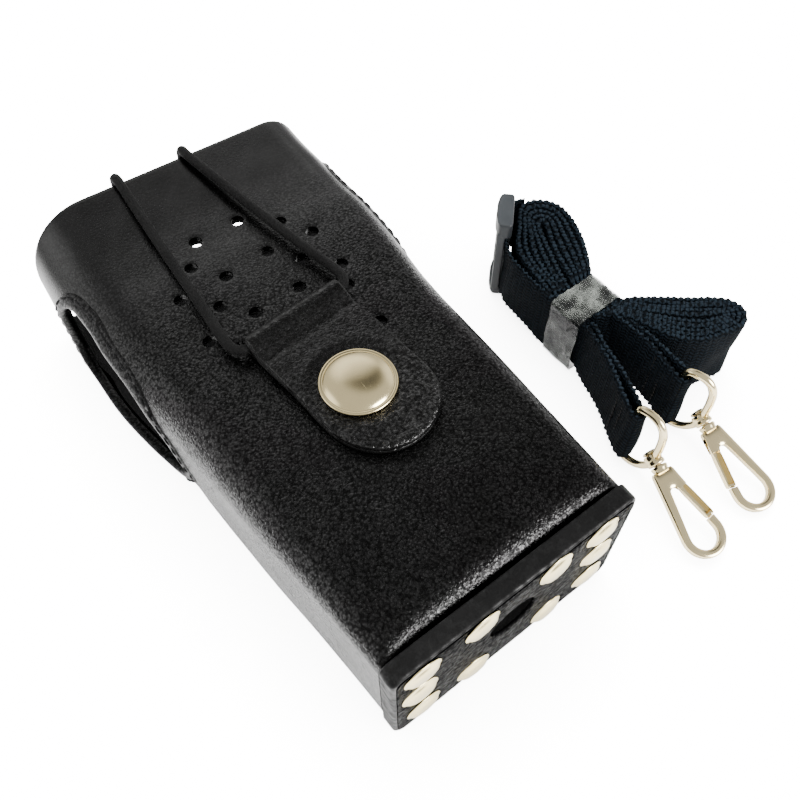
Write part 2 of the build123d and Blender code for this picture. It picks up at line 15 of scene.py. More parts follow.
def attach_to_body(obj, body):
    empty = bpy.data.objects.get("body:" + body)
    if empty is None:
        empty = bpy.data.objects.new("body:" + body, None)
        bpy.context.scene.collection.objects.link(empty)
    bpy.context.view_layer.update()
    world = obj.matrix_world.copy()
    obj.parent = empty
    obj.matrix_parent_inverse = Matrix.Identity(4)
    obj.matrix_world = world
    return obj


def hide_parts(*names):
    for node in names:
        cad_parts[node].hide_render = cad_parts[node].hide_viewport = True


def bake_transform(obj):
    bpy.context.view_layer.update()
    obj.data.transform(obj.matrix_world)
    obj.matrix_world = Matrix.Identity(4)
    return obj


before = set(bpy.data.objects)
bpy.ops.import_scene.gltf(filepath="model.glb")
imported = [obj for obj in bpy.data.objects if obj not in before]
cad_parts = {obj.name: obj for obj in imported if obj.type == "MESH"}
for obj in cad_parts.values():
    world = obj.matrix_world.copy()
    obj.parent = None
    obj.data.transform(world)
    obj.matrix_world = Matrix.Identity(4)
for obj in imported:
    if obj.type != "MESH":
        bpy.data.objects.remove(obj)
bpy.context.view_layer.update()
MM = 0.001
FACE_Y = -2.0           # scene y of the base plate's outer face, mm
MOUTH_Y = 126.0         # open end of the case
rng = np.random.default_rng(7)

# ---------------------------------------------------------------- curves and outlines


def unit(v):
    v = np.asarray(v, float)
    return v / (np.linalg.norm(v, axis=-1, keepdims=True) + 1e-12)


def distances(line):
    """Length along the line at each of its points."""
    return np.r_[0, np.cumsum(np.linalg.norm(np.diff(line, axis=0), axis=1))]


def closed(outline):
    return np.vstack([outline, outline[:1]])


def resample(outline, step=None, count=None):
    """Closed outline with evenly spaced points."""
    line = closed(outline)
    along = distances(line)
    count = count or max(24, int(along[-1] / step))
    t = np.linspace(0, along[-1], count, endpoint=False)
    return np.stack([np.interp(t, along, line[:, j]) for j in (0, 1)], 1)


def catmull(points, step=0.5, loop=False):
    """Smooth curve through the points, resampled evenly."""
    P = np.array(points, float)
    if loop:
        Q = np.vstack([P[-1], P, P[0], P[1]])
    else:
        Q = np.vstack([2 * P[0] - P[1], P, 2 * P[-1] - P[-2]])
    spans = []
    for i in range(len(Q) - 3):
        p = Q[i:i + 4]
        k = [0]
        for a, b in zip(p, p[1:]):
            k.append(k[-1] + max(np.linalg.norm(b - a), 1e-6) ** 0.5)
        t = np.linspace(k[1], k[2], 24, endpoint=False)[:, None]

        def between(i0, i1, a, b):
            width = k[i1] - k[i0]
            return (k[i1] - t) / width * a + (t - k[i0]) / width * b

        first, middle, last = (between(j, j + 1, p[j], p[j + 1]) for j in range(3))
        spans.append(between(1, 2, between(0, 2, first, middle), between(1, 3, middle, last)))
    line = np.vstack(spans + [P[0] if loop else P[-1]])
    along = distances(line)
    t = np.linspace(0, along[-1], max(4, int(round(along[-1] / step))) + 1)
    even = np.stack([np.interp(t, along, line[:, j]) for j in range(line.shape[1])], 1)
    return even[:-1] if loop else even


def frames(P, loop=False):
    """Tangents and two normals along a 3D line, carried on without twist."""
    T = unit(np.roll(P, -1, 0) - np.roll(P, 1, 0) if loop else np.gradient(P, axis=0))
    N = np.zeros_like(P)
    N[0] = unit(np.cross(T[0], (0, 0, 1.0) if abs(T[0][2]) < 0.9 else (1.0, 0, 0)))
    for i in range(1, len(P)):
        N[i] = unit(N[i - 1] - T[i] * (N[i - 1] @ T[i]))
    return T, N, np.cross(T, N)


def plan_frames(P):
    """Tangents and left-hand normals along an open 2D line."""
    T = unit(np.gradient(P, axis=0))
    return T, np.stack([-T[:, 1], T[:, 0]], 1)


def outward_normals(outline):
    following = np.roll(outline, -1, 0)
    T = unit(following - np.roll(outline, 1, 0))
    N = np.stack([T[:, 1], -T[:, 0]], 1)
    area = np.sum(outline[:, 0] * following[:, 1] - following[:, 0] * outline[:, 1])
    return N if area > 0 else -N


def soften(outline, step, sigma):
    """Closed outline, resampled evenly and with its corners rounded."""
    q = resample(np.array(outline, float), step)
    reach = max(1, int(round(2.5 * sigma / step)))
    kernel = np.exp(-0.5 * (np.arange(-reach, reach + 1) * step / sigma) ** 2)
    kernel /= kernel.sum()
    padded = np.vstack([q[-reach:], q, q[:reach]])
    return np.stack([np.convolve(padded[:, j], kernel, "valid") for j in (0, 1)], 1)


def circle(cx, cy, radius, count):
    a = np.linspace(0, 2 * np.pi, count, endpoint=False)
    return np.stack([cx + radius * np.cos(a), cy + radius * np.sin(a)], 1)


def rect(x0, x1, y0, y1):
    return [(x0, y0), (x1, y0), (x1, y1), (x0, y1)]


def round_rect(width, depth, radius, centre, step=0.6):
    corners = []
    for sx, sz, start in ((1, 1, 0), (-1, 1, 90), (-1, -1, 180), (1, -1, 270)):
        a = np.radians(np.linspace(start, start + 90, 13))
        corners.append(np.stack([centre[0] + sx * (width / 2 - radius) + radius * np.cos(a),
                                 centre[1] + sz * (depth / 2 - radius) + radius * np.sin(a)], 1))
    return resample(np.vstack(corners), step)


def polar(outline, centre, angles):
    """The outline's points at the given angles round a centre."""
    P = closed(outline)
    a = np.unwrap(np.arctan2(P[:, 1] - centre[1], P[:, 0] - centre[0]))
    r = np.hypot(P[:, 0] - centre[0], P[:, 1] - centre[1])
    if a[-1] < a[0]:
        a, r = a[::-1], r[::-1]
    R = np.interp((angles - a[0]) % (2 * np.pi) + a[0], a, r)
    return np.stack([centre[0] + R * np.cos(angles), centre[1] + R * np.sin(angles)], 1)


def hull(points):
    """Convex outline round 2D points."""
    pts = sorted(set(map(tuple, points)))

    def half(seq):
        h = []
        for p in seq:
            while len(h) > 1 and ((h[-1][0] - h[-2][0]) * (p[1] - h[-2][1])
                                  - (h[-1][1] - h[-2][1]) * (p[0] - h[-2][0])) <= 0:
                h.pop()
            h.append(p)
        return h[:-1]

    return np.array(half(pts) + half(pts[::-1]))


def smoothstep(a, b, x):
    t = np.clip((np.asarray(x, float) - a) / (b - a), 0, 1)
    return t * t * (3 - 2 * t)


def bell(distance, width):
    return np.exp(-(distance / width) ** 2)


def lump(x, y, z, scale, seed=0.0):
    """Soft deterministic undulation, about -1 to 1."""
    x, y, z = (np.asarray(v, float) / scale for v in (x, y, z))
    return (np.sin(1.7 * x + 0.9 * y + seed) + np.sin(2.3 * y - 1.1 * z + 1.7 * seed)
            + np.sin(1.9 * z + 1.3 * x + 2.9 * seed + 0.6)
            + 0.6 * np.sin(3.7 * x - 2.9 * y + 3.1 * z + seed)) / 3.6


# Each of these stands a 2D outline in space, at a level on the remaining axis.


def on_yz(p, level):
    return np.stack([np.full(len(p), level), p[:, 0], p[:, 1]], 1)


def on_xz(p, level):
    return np.stack([p[:, 0], np.full(len(p), level), p[:, 1]], 1)


def on_xy(p, level):
    return np.stack([p[:, 0], p[:, 1], np.full(len(p), level)], 1)


# ---------------------------------------------------------------- solids: (points, faces)


def loft(rows, loop=False, caps=False, flip=False):
    """Skin over closed rows of points. loop joins the last row to the first, caps closes
    both ends, flip winds the first cap backwards."""
    count, size = len(rows), len(rows[0])
    here = np.arange(size)
    after = (here + 1) % size
    faces = []
    for j in range(count if loop else count - 1):
        a, b = j * size, (j + 1) % count * size
        faces += np.stack([a + here, a + after, b + after, b + here], 1).tolist()
    if caps:
        first = tuple(range(size))
        faces += [first[::-1] if flip else first, tuple(range((count - 1) * size, count * size))]
    return np.vstack(rows), faces


def join(solids):
    points, faces, base = [], [], 0
    for co, f in solids:
        points.append(co)
        faces += [tuple(i + base for i in face) for face in f]
        base += len(co)
    return np.vstack(points), faces


def tube(P, radius, sides, radial, loop=False):
    """Bar along P with domed ends; radial(length along, angles) scales the radius."""
    T, N, B = frames(P, loop)
    a = np.linspace(0, 2 * np.pi, sides, endpoint=False)
    rows = []
    for i, s in enumerate(distances(P)):
        r = radius * radial(s, a)
        rows.append(P[i] + np.outer(r * np.cos(a), N[i]) + np.outer(r * np.sin(a), B[i]))
    if not loop:
        dome = ((0.6, 0.8), (0.95, 0.45), (1.0, 0.02))      # (height, width) shares
        start = [P[0] - T[0] * radius * 0.5 * h + (rows[0] - P[0]) * w for h, w in dome[::-1]]
        end = [P[-1] + T[-1] * radius * 0.5 * h + (rows[-1] - P[-1]) * w for h, w in dome]
        rows = start + rows + end
    return loft(rows, loop=loop, caps=not loop)


def lathe(profile, origin, axis, sides):
    """Turned solid; profile rows are (radius, height along the axis)."""
    axis = unit(axis)
    e1 = unit(np.cross((0, 0, 1.0) if abs(axis[2]) < 0.9 else (1.0, 0, 0), axis))
    e2 = np.cross(axis, e1)
    a = np.linspace(0, 2 * np.pi, sides, endpoint=False)
    ring = np.outer(np.cos(a), e1) + np.outer(np.sin(a), e2)
    origin = np.array(origin, float)
    return loft([origin + axis * h + ring * max(r, 0.004) for r, h in profile], caps=True)


def prism(outline, start, end, place):
    return loft([place(outline, start), place(outline, end)], caps=True, flip=True)


def soft_body(outline, start, end, place, edge=0.5, step=0.35, sigma=0.5, wobble=0.0, mid=14,
              seed=0.0):
    """Prism with rounded edges and corners, and slightly uneven sides."""
    q = soften(outline, step, sigma)
    N = outward_normals(q)
    arc = np.radians(np.linspace(0, 90, 6))
    levels = [(start + edge * (1 - math.sin(v)), edge * (1 - math.cos(v))) for v in arc[::-1]]
    levels += [(w, 0.0) for w in np.linspace(start + edge, end - edge, mid + 2)[1:-1]]
    levels += [(end - edge * (1 - math.sin(v)), edge * (1 - math.cos(v))) for v in arc]
    rows = []
    for level, inset in levels:
        row = place(q - N * inset, level)
        outward = place(N, level) - place(np.zeros((1, 2)), level)
        dip = wobble + wobble * lump(row[:, 0], row[:, 1], row[:, 2], 3.1, seed)
        rows.append(row - outward * np.clip(dip, 0, None)[:, None])
    return loft(rows, caps=True, flip=True)


STITCH = [(-0.5, -0.28), (-0.42, 0.02), (-0.2, 0.12), (0, 0.15), (0.2, 0.12), (0.42, 0.02),
          (0.5, -0.28)]       # (share of the length, height over the surface)


def stitch(centre, along, normal, length=2.1, radius=0.24):
    """One thread stitch lying on a surface."""
    centre, normal, along = np.array(centre, float), np.array(normal, float), unit(along)
    line = catmull([centre + along * length * s + normal * h for s, h in STITCH], 0.3)
    return tube(line, radius, 8, lambda s, a: 1 + 0.12 * np.sin(2 * a + s * 9))


def stitch_marks(outline, pitch):
    """Pairs of neighbouring outline points, about a pitch apart."""
    along = distances(closed(outline))
    count = int(along[-1] // pitch)
    for j in range(count):
        k = int(np.searchsorted(along, along[-1] * (j + 0.5) / count)) % len(outline)
        yield outline[k], outline[(k + 1) % len(outline)]


# ---------------------------------------------------------------- objects


def shade(mesh, sharp=None, smooth=True):
    """Smooth shading, with edges over the sharp angle (degrees) kept crisp."""
    mesh.polygons.foreach_set("use_smooth", [smooth] * len(mesh.polygons))
    if sharp:
        mesh.set_sharp_from_angle(angle=math.radians(sharp))


def make_object(name, solid, material=None, sharp=None, smooth=True, run=None):
    """Object from a solid; run is a value per point, stored as an attribute."""
    points = np.array(solid[0], float)
    points[:, 1] += FACE_Y
    mesh = bpy.data.meshes.new(name)
    mesh.from_pydata((points * MM).tolist(), [], solid[1])
    bm = bmesh.new()
    bm.from_mesh(mesh)
    if run is not None:
        layer = bm.verts.layers.float.new("run")
        for vert, value in zip(bm.verts, run):
            vert[layer] = float(value)
    bmesh.ops.remove_doubles(bm, verts=bm.verts, dist=1e-6)
    bmesh.ops.dissolve_degenerate(bm, edges=bm.edges, dist=1e-7)
    bmesh.ops.recalc_face_normals(bm, faces=bm.faces)
    bm.to_mesh(mesh)
    bm.free()
    shade(mesh, sharp, smooth)
    ob = bpy.data.objects.new(name, mesh)
    bpy.context.scene.collection.objects.link(ob)
    if material:
        mesh.materials.append(material)
    mesh.update()
    return ob


def attach(ob, ride, replaces=None):
    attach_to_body(ob, ride)
    if replaces:
        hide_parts(replaces)


def piece(name, solid, material, ride, replaces=None, sharp=None, run=None):
    attach(make_object(name, solid, material, sharp, run=run), ride, replaces)


def cut(ob, cutter):
    """Subtract the cutter; the exact solver takes over if the fast one does nothing."""
    modifier = ob.modifiers.new("cut", "BOOLEAN")
    modifier.object = cutter
    modifier.operation = "DIFFERENCE"
    before = len(ob.data.polygons)
    for solver in ("MANIFOLD", "EXACT"):
        modifier.solver = solver
        graph = bpy.context.evaluated_depsgraph_get()
        mesh = bpy.data.meshes.new_from_object(ob.evaluated_get(graph))
        if len(mesh.polygons) not in (0, before):
            break
    ob.modifiers.clear()
    ob.data = mesh


def remove(ob):
    bpy.data.objects.remove(ob, do_unlink=True)


# ---------------------------------------------------------------- shader building


class Nodes:
    """Short ways to add and link nodes in one shader tree."""

    def __init__(self, tree):
        self.tree = tree

    def feed(self, socket, value):
        if isinstance(value, bpy.types.NodeSocket):
            self.tree.links.new(value, socket)
        elif socket.type == "RGBA":
            socket.default_value = (*value, 1)
        else:
            socket.default_value = value

    def node(self, kind, inputs=None, **properties):
        n = self.tree.nodes.new("ShaderNode" + kind)
        for name, value in properties.items():
            setattr(n, name, value)
        for key, value in (inputs or {}).items():
            self.feed(n.inputs[key], value)
        return n

    def math(self, operation, *values):
        return self.node("Math", dict(enumerate(values)), operation=operation).outputs[0]

    def add(self, a, b):
        return self.math("ADD", a, b)

    def sub(self, a, b):
        return self.math("SUBTRACT", a, b)

    def mul(self, a, b):
        return self.math("MULTIPLY", a, b)

    def vector(self, operation, inputs, output=0):
        return self.node("VectorMath", inputs, operation=operation).outputs[output]

    def ramp(self, value, span, to=(0.0, 1.0), interpolation="LINEAR"):
        """Map the span onto the range `to`, clamped."""
        inputs = {"Value": value, "From Min": span[0], "From Max": span[1],
                  "To Min": to[0], "To Max": to[1]}
        return self.node("MapRange", inputs, clamp=True,
                         interpolation_type=interpolation).outputs["Result"]

    def mix(self, factor, a, b):
        return self.node("Mix", {0: factor, 6: a, 7: b}, data_type="RGBA").outputs[2]


class Material(Nodes):
    """A material with textures in object space; texture scales are per metre."""

    INPUTS = {"color": "Base Color", "rough": "Roughness", "metal": "Metallic",
              "spec": "Specular IOR Level", "normal": "Normal", "coat_rough": "Coat Roughness",
              "sheen": "Sheen Weight", "sheen_rough": "Sheen Roughness", "alpha": "Alpha"}

    def __init__(self, name):
        self.material = bpy.data.materials.new(name)
        self.material.use_nodes = True
        super().__init__(self.material.node_tree)
        self.principled = self.tree.nodes["Principled BSDF"]
        self.co = self.node("TexCoord").outputs["Object"]

    def noise(self, scale, detail=3.0, rough=0.5, vector=None, distortion=0.0, output="Fac"):
        inputs = {"Vector": vector or self.co, "Scale": scale, "Detail": detail,
                  "Roughness": rough, "Distortion": distortion}
        return self.node("TexNoise", inputs).outputs[output]

    def voronoi(self, scale, feature="F1", vector=None, randomness=1.0):
        inputs = {"Vector": vector or self.co, "Scale": scale, "Randomness": randomness}
        return self.node("TexVoronoi", inputs, feature=feature).outputs["Distance"]

    def position(self, axis):
        return self.node("SeparateXYZ", {0: self.co}).outputs[axis]

    def bump(self, height, strength, depth, normal=None):
        """Bump with its depth in mm, over an optional coarser one."""
        inputs = {"Strength": strength, "Distance": depth * MM, "Height": height}
        if normal is not None:
            inputs["Normal"] = normal
        return self.node("Bump", inputs).outputs["Normal"]

    def surface(self, **values):
        for name, value in values.items():
            self.feed(self.principled.inputs[self.INPUTS[name]], value)
        return self.material


def leather(name, dark=0.00012, light=0.0003, grain=2050.0, depth=0.075, rough=(0.17, 0.26),
            crease=0.45, spec=0.46, warm=0.0, calm=None, calm_gloss=0.9):
    """Pebbled leather with grain cells per metre, depth in mm. calm = (start y, end y, share):
    between these y, in metres, the grain fades to that share of its depth."""
    m = Material(name)
    warp = m.noise(scale=300)
    jitter = m.noise(scale=grain * 0.4, detail=2.0, output="Color")
    jitter = m.vector("SCALE", {0: jitter, "Scale": 1.1 / grain})
    shifted = m.vector("ADD", {0: m.co, 1: jitter})
    cells = m.voronoi(scale=grain, feature="SMOOTH_F1", vector=shifted)
    fine = m.noise(scale=grain * 2.1, rough=0.6)
    medium = m.noise(scale=grain * 0.9, rough=0.6, distortion=0.6)
    wrinkle = m.voronoi(scale=grain * 0.62, feature="DISTANCE_TO_EDGE", vector=shifted)
    wrinkle = m.ramp(wrinkle, span=(0.0, 0.2))
    patch = m.ramp(m.noise(scale=70), span=(0.40, 0.62), to=(0.3, 1.0))
    big = m.noise(scale=48, detail=4, rough=0.55)
    height = m.add(m.mul(cells, -1.0), m.mul(fine, 0.6))
    height = m.add(height, m.mul(medium, 0.45))
    height = m.add(height, m.mul(m.mul(wrinkle, patch), crease))
    waves = m.bump(m.add(m.noise(scale=75, detail=2), m.mul(warp, 0.12)), strength=0.16, depth=0.4)
    amount = 1.0
    if calm:
        drift = m.mul(m.sub(m.noise(scale=40, detail=2), 0.5), 0.03)
        amount = m.ramp(m.add(m.position("Y"), drift), span=calm[:2], to=(1.0, calm[2]))
    normal = m.bump(height, strength=amount, depth=depth, normal=waves)
    blotch = m.add(m.mul(big, 0.7), m.mul(fine, 0.3))
    roughness = m.ramp(blotch, span=(0.35, 0.65), to=rough)
    low, high = ((v * (1 + warm), v, v * (1 - warm)) for v in (dark, light))
    color = m.mix(m.ramp(m.add(big, m.mul(cells, 0.5)), span=(0.5, 1.0)), low, high)
    # pebble tops are polished, the valleys between them are matt and dark
    top = m.add(cells, m.mul(m.sub(fine, 0.5), 0.5))
    top = m.ramp(top, span=(0.22, 0.62), to=(1.0, 0.0))
    top = m.mul(top, m.ramp(medium, span=(0.38, 0.58), to=(0.25, 1.0)))
    gloss = m.add(m.mul(top, 1.45), 0.22)
    if calm:
        gloss = m.add(m.mul(gloss, amount), m.mul(m.sub(1.0, amount), calm_gloss))
    roughness = m.add(roughness, m.mul(m.sub(1.0, top), 0.06))
    return m.surface(color=color, rough=roughness, spec=m.mul(gloss, spec), normal=normal,
                     coat_rough=0.2)


def nickel(name, tint, rough):
    """Plated metal with cloudy roughness and fine slanting scratches."""
    m = Material(name)
    big = m.noise(scale=130, detail=4, rough=0.6)
    fine = m.noise(scale=2600, rough=0.6)
    stretched = m.node("Mapping", {"Vector": m.co, "Scale": (1.0, 0.06, 1.0),
                                   "Rotation": (0.3, 0.2, 0.7)}).outputs["Vector"]
    scratches = m.ramp(m.noise(scale=3800, detail=2, vector=stretched), span=(0.62, 0.75))
    roughness = m.add(m.ramp(big, span=(0.35, 0.7), to=rough), m.mul(scratches, 0.12))
    color = m.mix(m.ramp(big, span=(0.35, 0.65)), tint, tuple(v * 0.93 for v in tint))
    waves = m.bump(m.noise(scale=320, detail=2), strength=0.25, depth=0.05)
    normal = m.bump(m.add(fine, scratches), strength=0.12, depth=0.008, normal=waves)
    return m.surface(color=color, rough=roughness, metal=1.0, normal=normal)


def fabric(name, dark, light, pitch, sheen):
    """Fuzzy cloth; pitch is threads per metre."""
    m = Material(name)
    thread = m.noise(scale=pitch, detail=4, rough=0.7)
    fine = m.noise(scale=pitch * 2.6, rough=0.7)
    fuzz = m.voronoi(scale=pitch * 1.3)
    big = m.noise(scale=140)
    height = m.sub(m.add(thread, m.mul(fine, 0.6)), m.mul(fuzz, 0.6))
    color = m.mix(m.ramp(m.add(thread, m.mul(big, 0.5)), span=(0.55, 1.05)), dark, light)
    return m.surface(color=color, rough=m.ramp(fine, span=(0.3, 0.7), to=(0.6, 0.9)), spec=0.12,
                     normal=m.bump(height, strength=0.9, depth=0.09), sheen=sheen,
                     sheen_rough=0.45)


def webbing(name):
    """Black webbing: herringbone ribs, laid out along each strip by its run attribute."""
    rib_pitch, column = 1.02, 1.05      # mm, across and along the strip
    m = Material(name)
    run = m.node("Attribute", attribute_name="run").outputs["Fac"]
    across = m.mul(m.position("Z"), 1000.0)
    wobble = m.mul(m.noise(scale=260), 2.2)
    zigzag = m.math("PINGPONG", m.mul(run, 1 / column), 1.0)
    phase = m.add(m.mul(across, 2 * math.pi / rib_pitch), m.add(m.mul(zigzag, 3.6), wobble))
    rib = m.add(m.mul(m.math("SINE", phase), 0.5), 0.5)
    columns = m.math("ABSOLUTE", m.math("SINE", m.mul(run, math.pi / column)))
    columns = m.ramp(columns, span=(0.0, 0.55), to=(0.25, 1.0))
    height = m.mul(m.math("POWER", rib, 0.7), columns)
    fuzz = m.noise(scale=3400, detail=4, rough=0.7)
    lint = m.ramp(m.noise(scale=1500, detail=4, rough=0.8), span=(0.60, 0.78))
    rough_height = m.add(height, m.mul(fuzz, 0.35))
    # painted shade: the colour is darker in the rib grooves and between columns and lighter on the
    # rib crests, over a random fuzz tone
    painted_groove_shade = m.ramp(m.add(height, m.mul(m.sub(fuzz, 0.5), 0.6)), span=(0.25, 1.0))
    color = m.mix(painted_groove_shade, (0.0003, 0.0006, 0.0009), (0.0020, 0.0036, 0.0054))
    color = m.mix(m.mul(lint, 0.45), color, (0.0036, 0.0060, 0.0084))
    return m.surface(color=color, rough=0.85, spec=0.035,
                     normal=m.bump(rough_height, strength=0.9, depth=0.16))


def plastic(name, base, rough):
    m = Material(name)
    big = m.noise(scale=160)
    fine = m.noise(scale=3000, rough=0.6)
    return m.surface(color=m.mix(big, base, tuple(v * 2.0 for v in base)),
                     rough=m.ramp(big, span=(0.3, 0.7), to=rough),
                     normal=m.bump(m.add(fine, m.mul(big, 2.0)), strength=0.25, depth=0.02),
                     spec=0.3)


def band_film(name):
    """Cloudy, crinkled clear film with a grid of fine dots."""
    m = Material(name)
    dots = m.ramp(m.voronoi(scale=1000, randomness=0.12), span=(0.18, 0.34))
    cloud = m.noise(scale=170, detail=4, rough=0.6)
    crinkle = m.noise(scale=420, detail=4, rough=0.65, distortion=1.2)
    color = m.mix(m.ramp(cloud, span=(0.38, 0.62)), (0.010, 0.0112, 0.0104),
                  (0.044, 0.0480, 0.0430))
    color = m.mix(m.mul(m.sub(1.0, dots), 0.28), color, (0.008, 0.0084, 0.0084))
    # the film clings to the strap's upper corner, and looks dark there (heights in mm)
    height = m.add(m.mul(m.position("Z"), 1000.0),
                   m.mul(m.sub(m.noise(scale=260, rough=0.6), 0.5), 5.0))
    cling = m.mul(m.ramp(height, span=(12.0, 14.2)),
                  m.ramp(height, span=(16.4, 17.2), to=(1.0, 0.0)))
    color = m.mix(m.mul(cling, 0.85), color, (0.0035, 0.0040, 0.0042))
    alpha = m.sub(m.ramp(cloud, span=(0.36, 0.66), to=(0.42, 0.8)), m.mul(cling, 0.22))
    crinkles = m.bump(crinkle, strength=0.6, depth=0.25)
    return m.surface(color=color, rough=m.ramp(cloud, span=(0.3, 0.7), to=(0.22, 0.4)),
                     alpha=alpha, spec=0.55,
                     normal=m.bump(dots, strength=0.4, depth=0.05, normal=crinkles))


SHELL_LEATHER = leather("shell_leather", warm=0.05, calm=(0.078, 0.112, 0.22))
TAB_LEATHER = leather("tab_leather", dark=0.00015, light=0.0004, grain=1600.0, depth=0.13,
                      rough=(0.17, 0.25), crease=0.8, spec=0.66, warm=0.10,
                      calm=(0.040, 0.060, 0.45), calm_gloss=0.42)
TRIM_LEATHER = leather("trim_leather", dark=0.00015, light=0.0004, grain=1900.0, depth=0.04,
                       rough=(0.24, 0.34), crease=0.3, spec=0.36)
FACING_LEATHER = leather("facing_leather", dark=0.0002, light=0.0008, grain=1250.0, depth=0.17,
                         rough=(0.26, 0.38), crease=1.3, spec=0.018)
BACK_LEATHER = leather("back_leather", dark=0.0004, light=0.0010, grain=1350.0, depth=0.09,
                       rough=(0.30, 0.42), crease=0.8, spec=0.4)
EDGE_PAINT = leather("painted_edge", dark=0.0010, light=0.0018, grain=620.0, depth=0.02,
                     rough=(0.34, 0.46), crease=0.1, spec=0.20)
CAP_NICKEL = nickel("cap_nickel", tint=(0.98, 0.82, 0.46), rough=(0.15, 0.22))
RIVET_NICKEL = nickel("rivet_nickel", tint=(0.98, 0.84, 0.46), rough=(0.16, 0.26))
HOOK_NICKEL = nickel("hook_nickel", tint=(1.0, 0.84, 0.49), rough=(0.12, 0.22))
CORD_BRAID = fabric("cord_braid", dark=(0.0003, 0.0003, 0.00035), light=(0.0012, 0.0012, 0.0011),
                    pitch=2600.0, sheen=0.01)
WEB_WEAVE = webbing("webbing_weave")
LINING_CLOTH = fabric("lining_cloth", dark=(0.0006, 0.0006, 0.00065),
                      light=(0.0015, 0.0015, 0.0016), pitch=1900.0, sheen=0.01)
BOARD = fabric("board_fibre", dark=(0.002, 0.0019, 0.0017), light=(0.005, 0.0046, 0.004),
               pitch=900.0, sheen=0.0)
THREAD = fabric("black_thread", dark=(0.0004, 0.0004, 0.0005), light=(0.002, 0.002, 0.0022),
                pitch=4200.0, sheen=0.01)
PLASTIC = plastic("slider_plastic", base=(0.0046, 0.0054, 0.0062), rough=(0.34, 0.46))
BAND_FILM = band_film("band_film")

# ---------------------------------------------------------------- the case's form
# (y, left half width, right half width)
HALF_WIDTHS = [(0, 27.4, 27.4), (5, 27.4, 27.4), (23, 28.5, 28.5), (36, 29.6, 29.6),
               (50, 30.4, 30.4), (66, 31.4, 31.4), (80, 33.9, 33.7), (92, 35.3, 35.1),
               (106, 35.3, 35.7), (119, 34.6, 35.7), (127, 34.2, 36.0)]
# (y, z of the front)
TOP = [(0, 33.3), (60, 33.3), (80, 33.2), (92, 32.9), (102, 32.7), (114, 33.4), (127, 35.0)]
# (y, sideways slope of the front)
TILT = [(0, 0.0), (70, 0.0), (100, -0.015), (127, -0.055)]
# (y, left and right radius of the front corners)
FRONT_RADII = [(0, 4.0, 4.0), (15, 4.2, 4.2), (40, 6.5, 5.5), (70, 10.0, 6.5),
               (100, 14.0, 7.5), (127, 15.5, 8.0)]
REAR_RADIUS, REAR_Z = 3.5, 2.7
CROWN = [(4, 0.15), (9, 0.75), (20, 0.85), (40, 0.55), (58, 0.25), (70, 0.15), (100, 0.25),
         (126, 0.0)]        # (y, bulge of the front)
ARC_STEPS = 15
SIDE_STEPS = (112, 38, 34, 38)      # front, left, rear, right

# centres (x, y) of the round holes in the front
SPEAKER = [(-4, 101.6), (6.6, 101.9), (-8.6, 95.4), (13.9, 95.8), (-14.7, 89), (-3.9, 88.9),
           (6.8, 89.8), (17.8, 88.8), (-9.1, 82.5), (11.5, 83.2), (-15.4, 76.1), (-4.2, 76.7),
           (6.6, 77), (17.3, 77.1), (-12.1, 71.3), (14.9, 71.4), (-4.2, 64.6), (6.8, 64.6),
           (-8.8, 59.4), (14.5, 59.4)]
# outline (y, z) of the opening in each side
WINDOW = catmull([(112.6, 14), (111.8, 21.5), (108.3, 26.2), (100, 27.6), (90, 27.6),
                  (80, 26.8), (73.5, 23.6), (69.6, 17.5), (67.8, 11.5), (68.0, 8.0), (71, 6.2),
                  (80, 5.6), (95, 5.6), (106, 5.8), (111, 8.6)], 0.9, loop=True)


def curve(table, y, column=1):
    """Smooth reading of a table's column at y."""
    if y <= table[0][0]:
        return table[0][column]
    if y >= table[-1][0]:
        return table[-1][column]
    i = max(k for k in range(len(table) - 1) if table[k][0] <= y)

    def slope(k):
        a, b = table[max(k - 1, 0)], table[min(k + 1, len(table) - 1)]
        return (b[column] - a[column]) / (b[0] - a[0])

    v0, v1 = table[i][column], table[i + 1][column]
    h = table[i + 1][0] - table[i][0]
    t = (y - table[i][0]) / h
    return ((2 * t**3 - 3 * t**2 + 1) * v0 + (t**3 - 2 * t**2 + t) * h * slope(i)
            + (-2 * t**3 + 3 * t**2) * v1 + (t**3 - t**2) * h * slope(i + 1))


def section(y, inset=0.0, lift=0.0):
    """The case's cross-section at y: left, right, top, bottom, corner radii and tilt."""
    return (-curve(HALF_WIDTHS, y) + inset, curve(HALF_WIDTHS, y, 2) - inset,
            curve(TOP, y) - inset, REAR_Z + lift + inset,
            max(1.2, curve(FRONT_RADII, y) - inset), max(1.2, curve(FRONT_RADII, y, 2) - inset),
            max(1.0, REAR_RADIUS - inset), curve(TILT, y))


def section_ring(y, inset=0.0, lift=0.0):
    left, right, top, bottom, r_left, r_right, r_rear, tilt = section(y, inset, lift)

    def arc(cx, cz, r, start):
        a = np.radians(np.linspace(start, start + 90, ARC_STEPS + 1))
        return np.stack([cx + r * np.cos(a), cz + r * np.sin(a)], 1)

    corners = [arc(right - r_right, top - r_right, r_right, 0),
               arc(left + r_left, top - r_left, r_left, 90),
               arc(left + r_rear, bottom + r_rear, r_rear, 180),
               arc(right - r_rear, bottom + r_rear, r_rear, 270)]
    parts = []
    for i, corner in enumerate(corners):
        t = np.linspace(0, 1, SIDE_STEPS[i] + 1)[1:-1, None]
        parts += [corner, corner[-1] * (1 - t) + corners[(i + 1) % 4][0] * t]
    q = np.vstack(parts)
    share = np.clip((q[:, 1] - bottom) / (top - bottom), 0, None)
    q[:, 1] += tilt * q[:, 0] * share
    return on_xz(q, y)


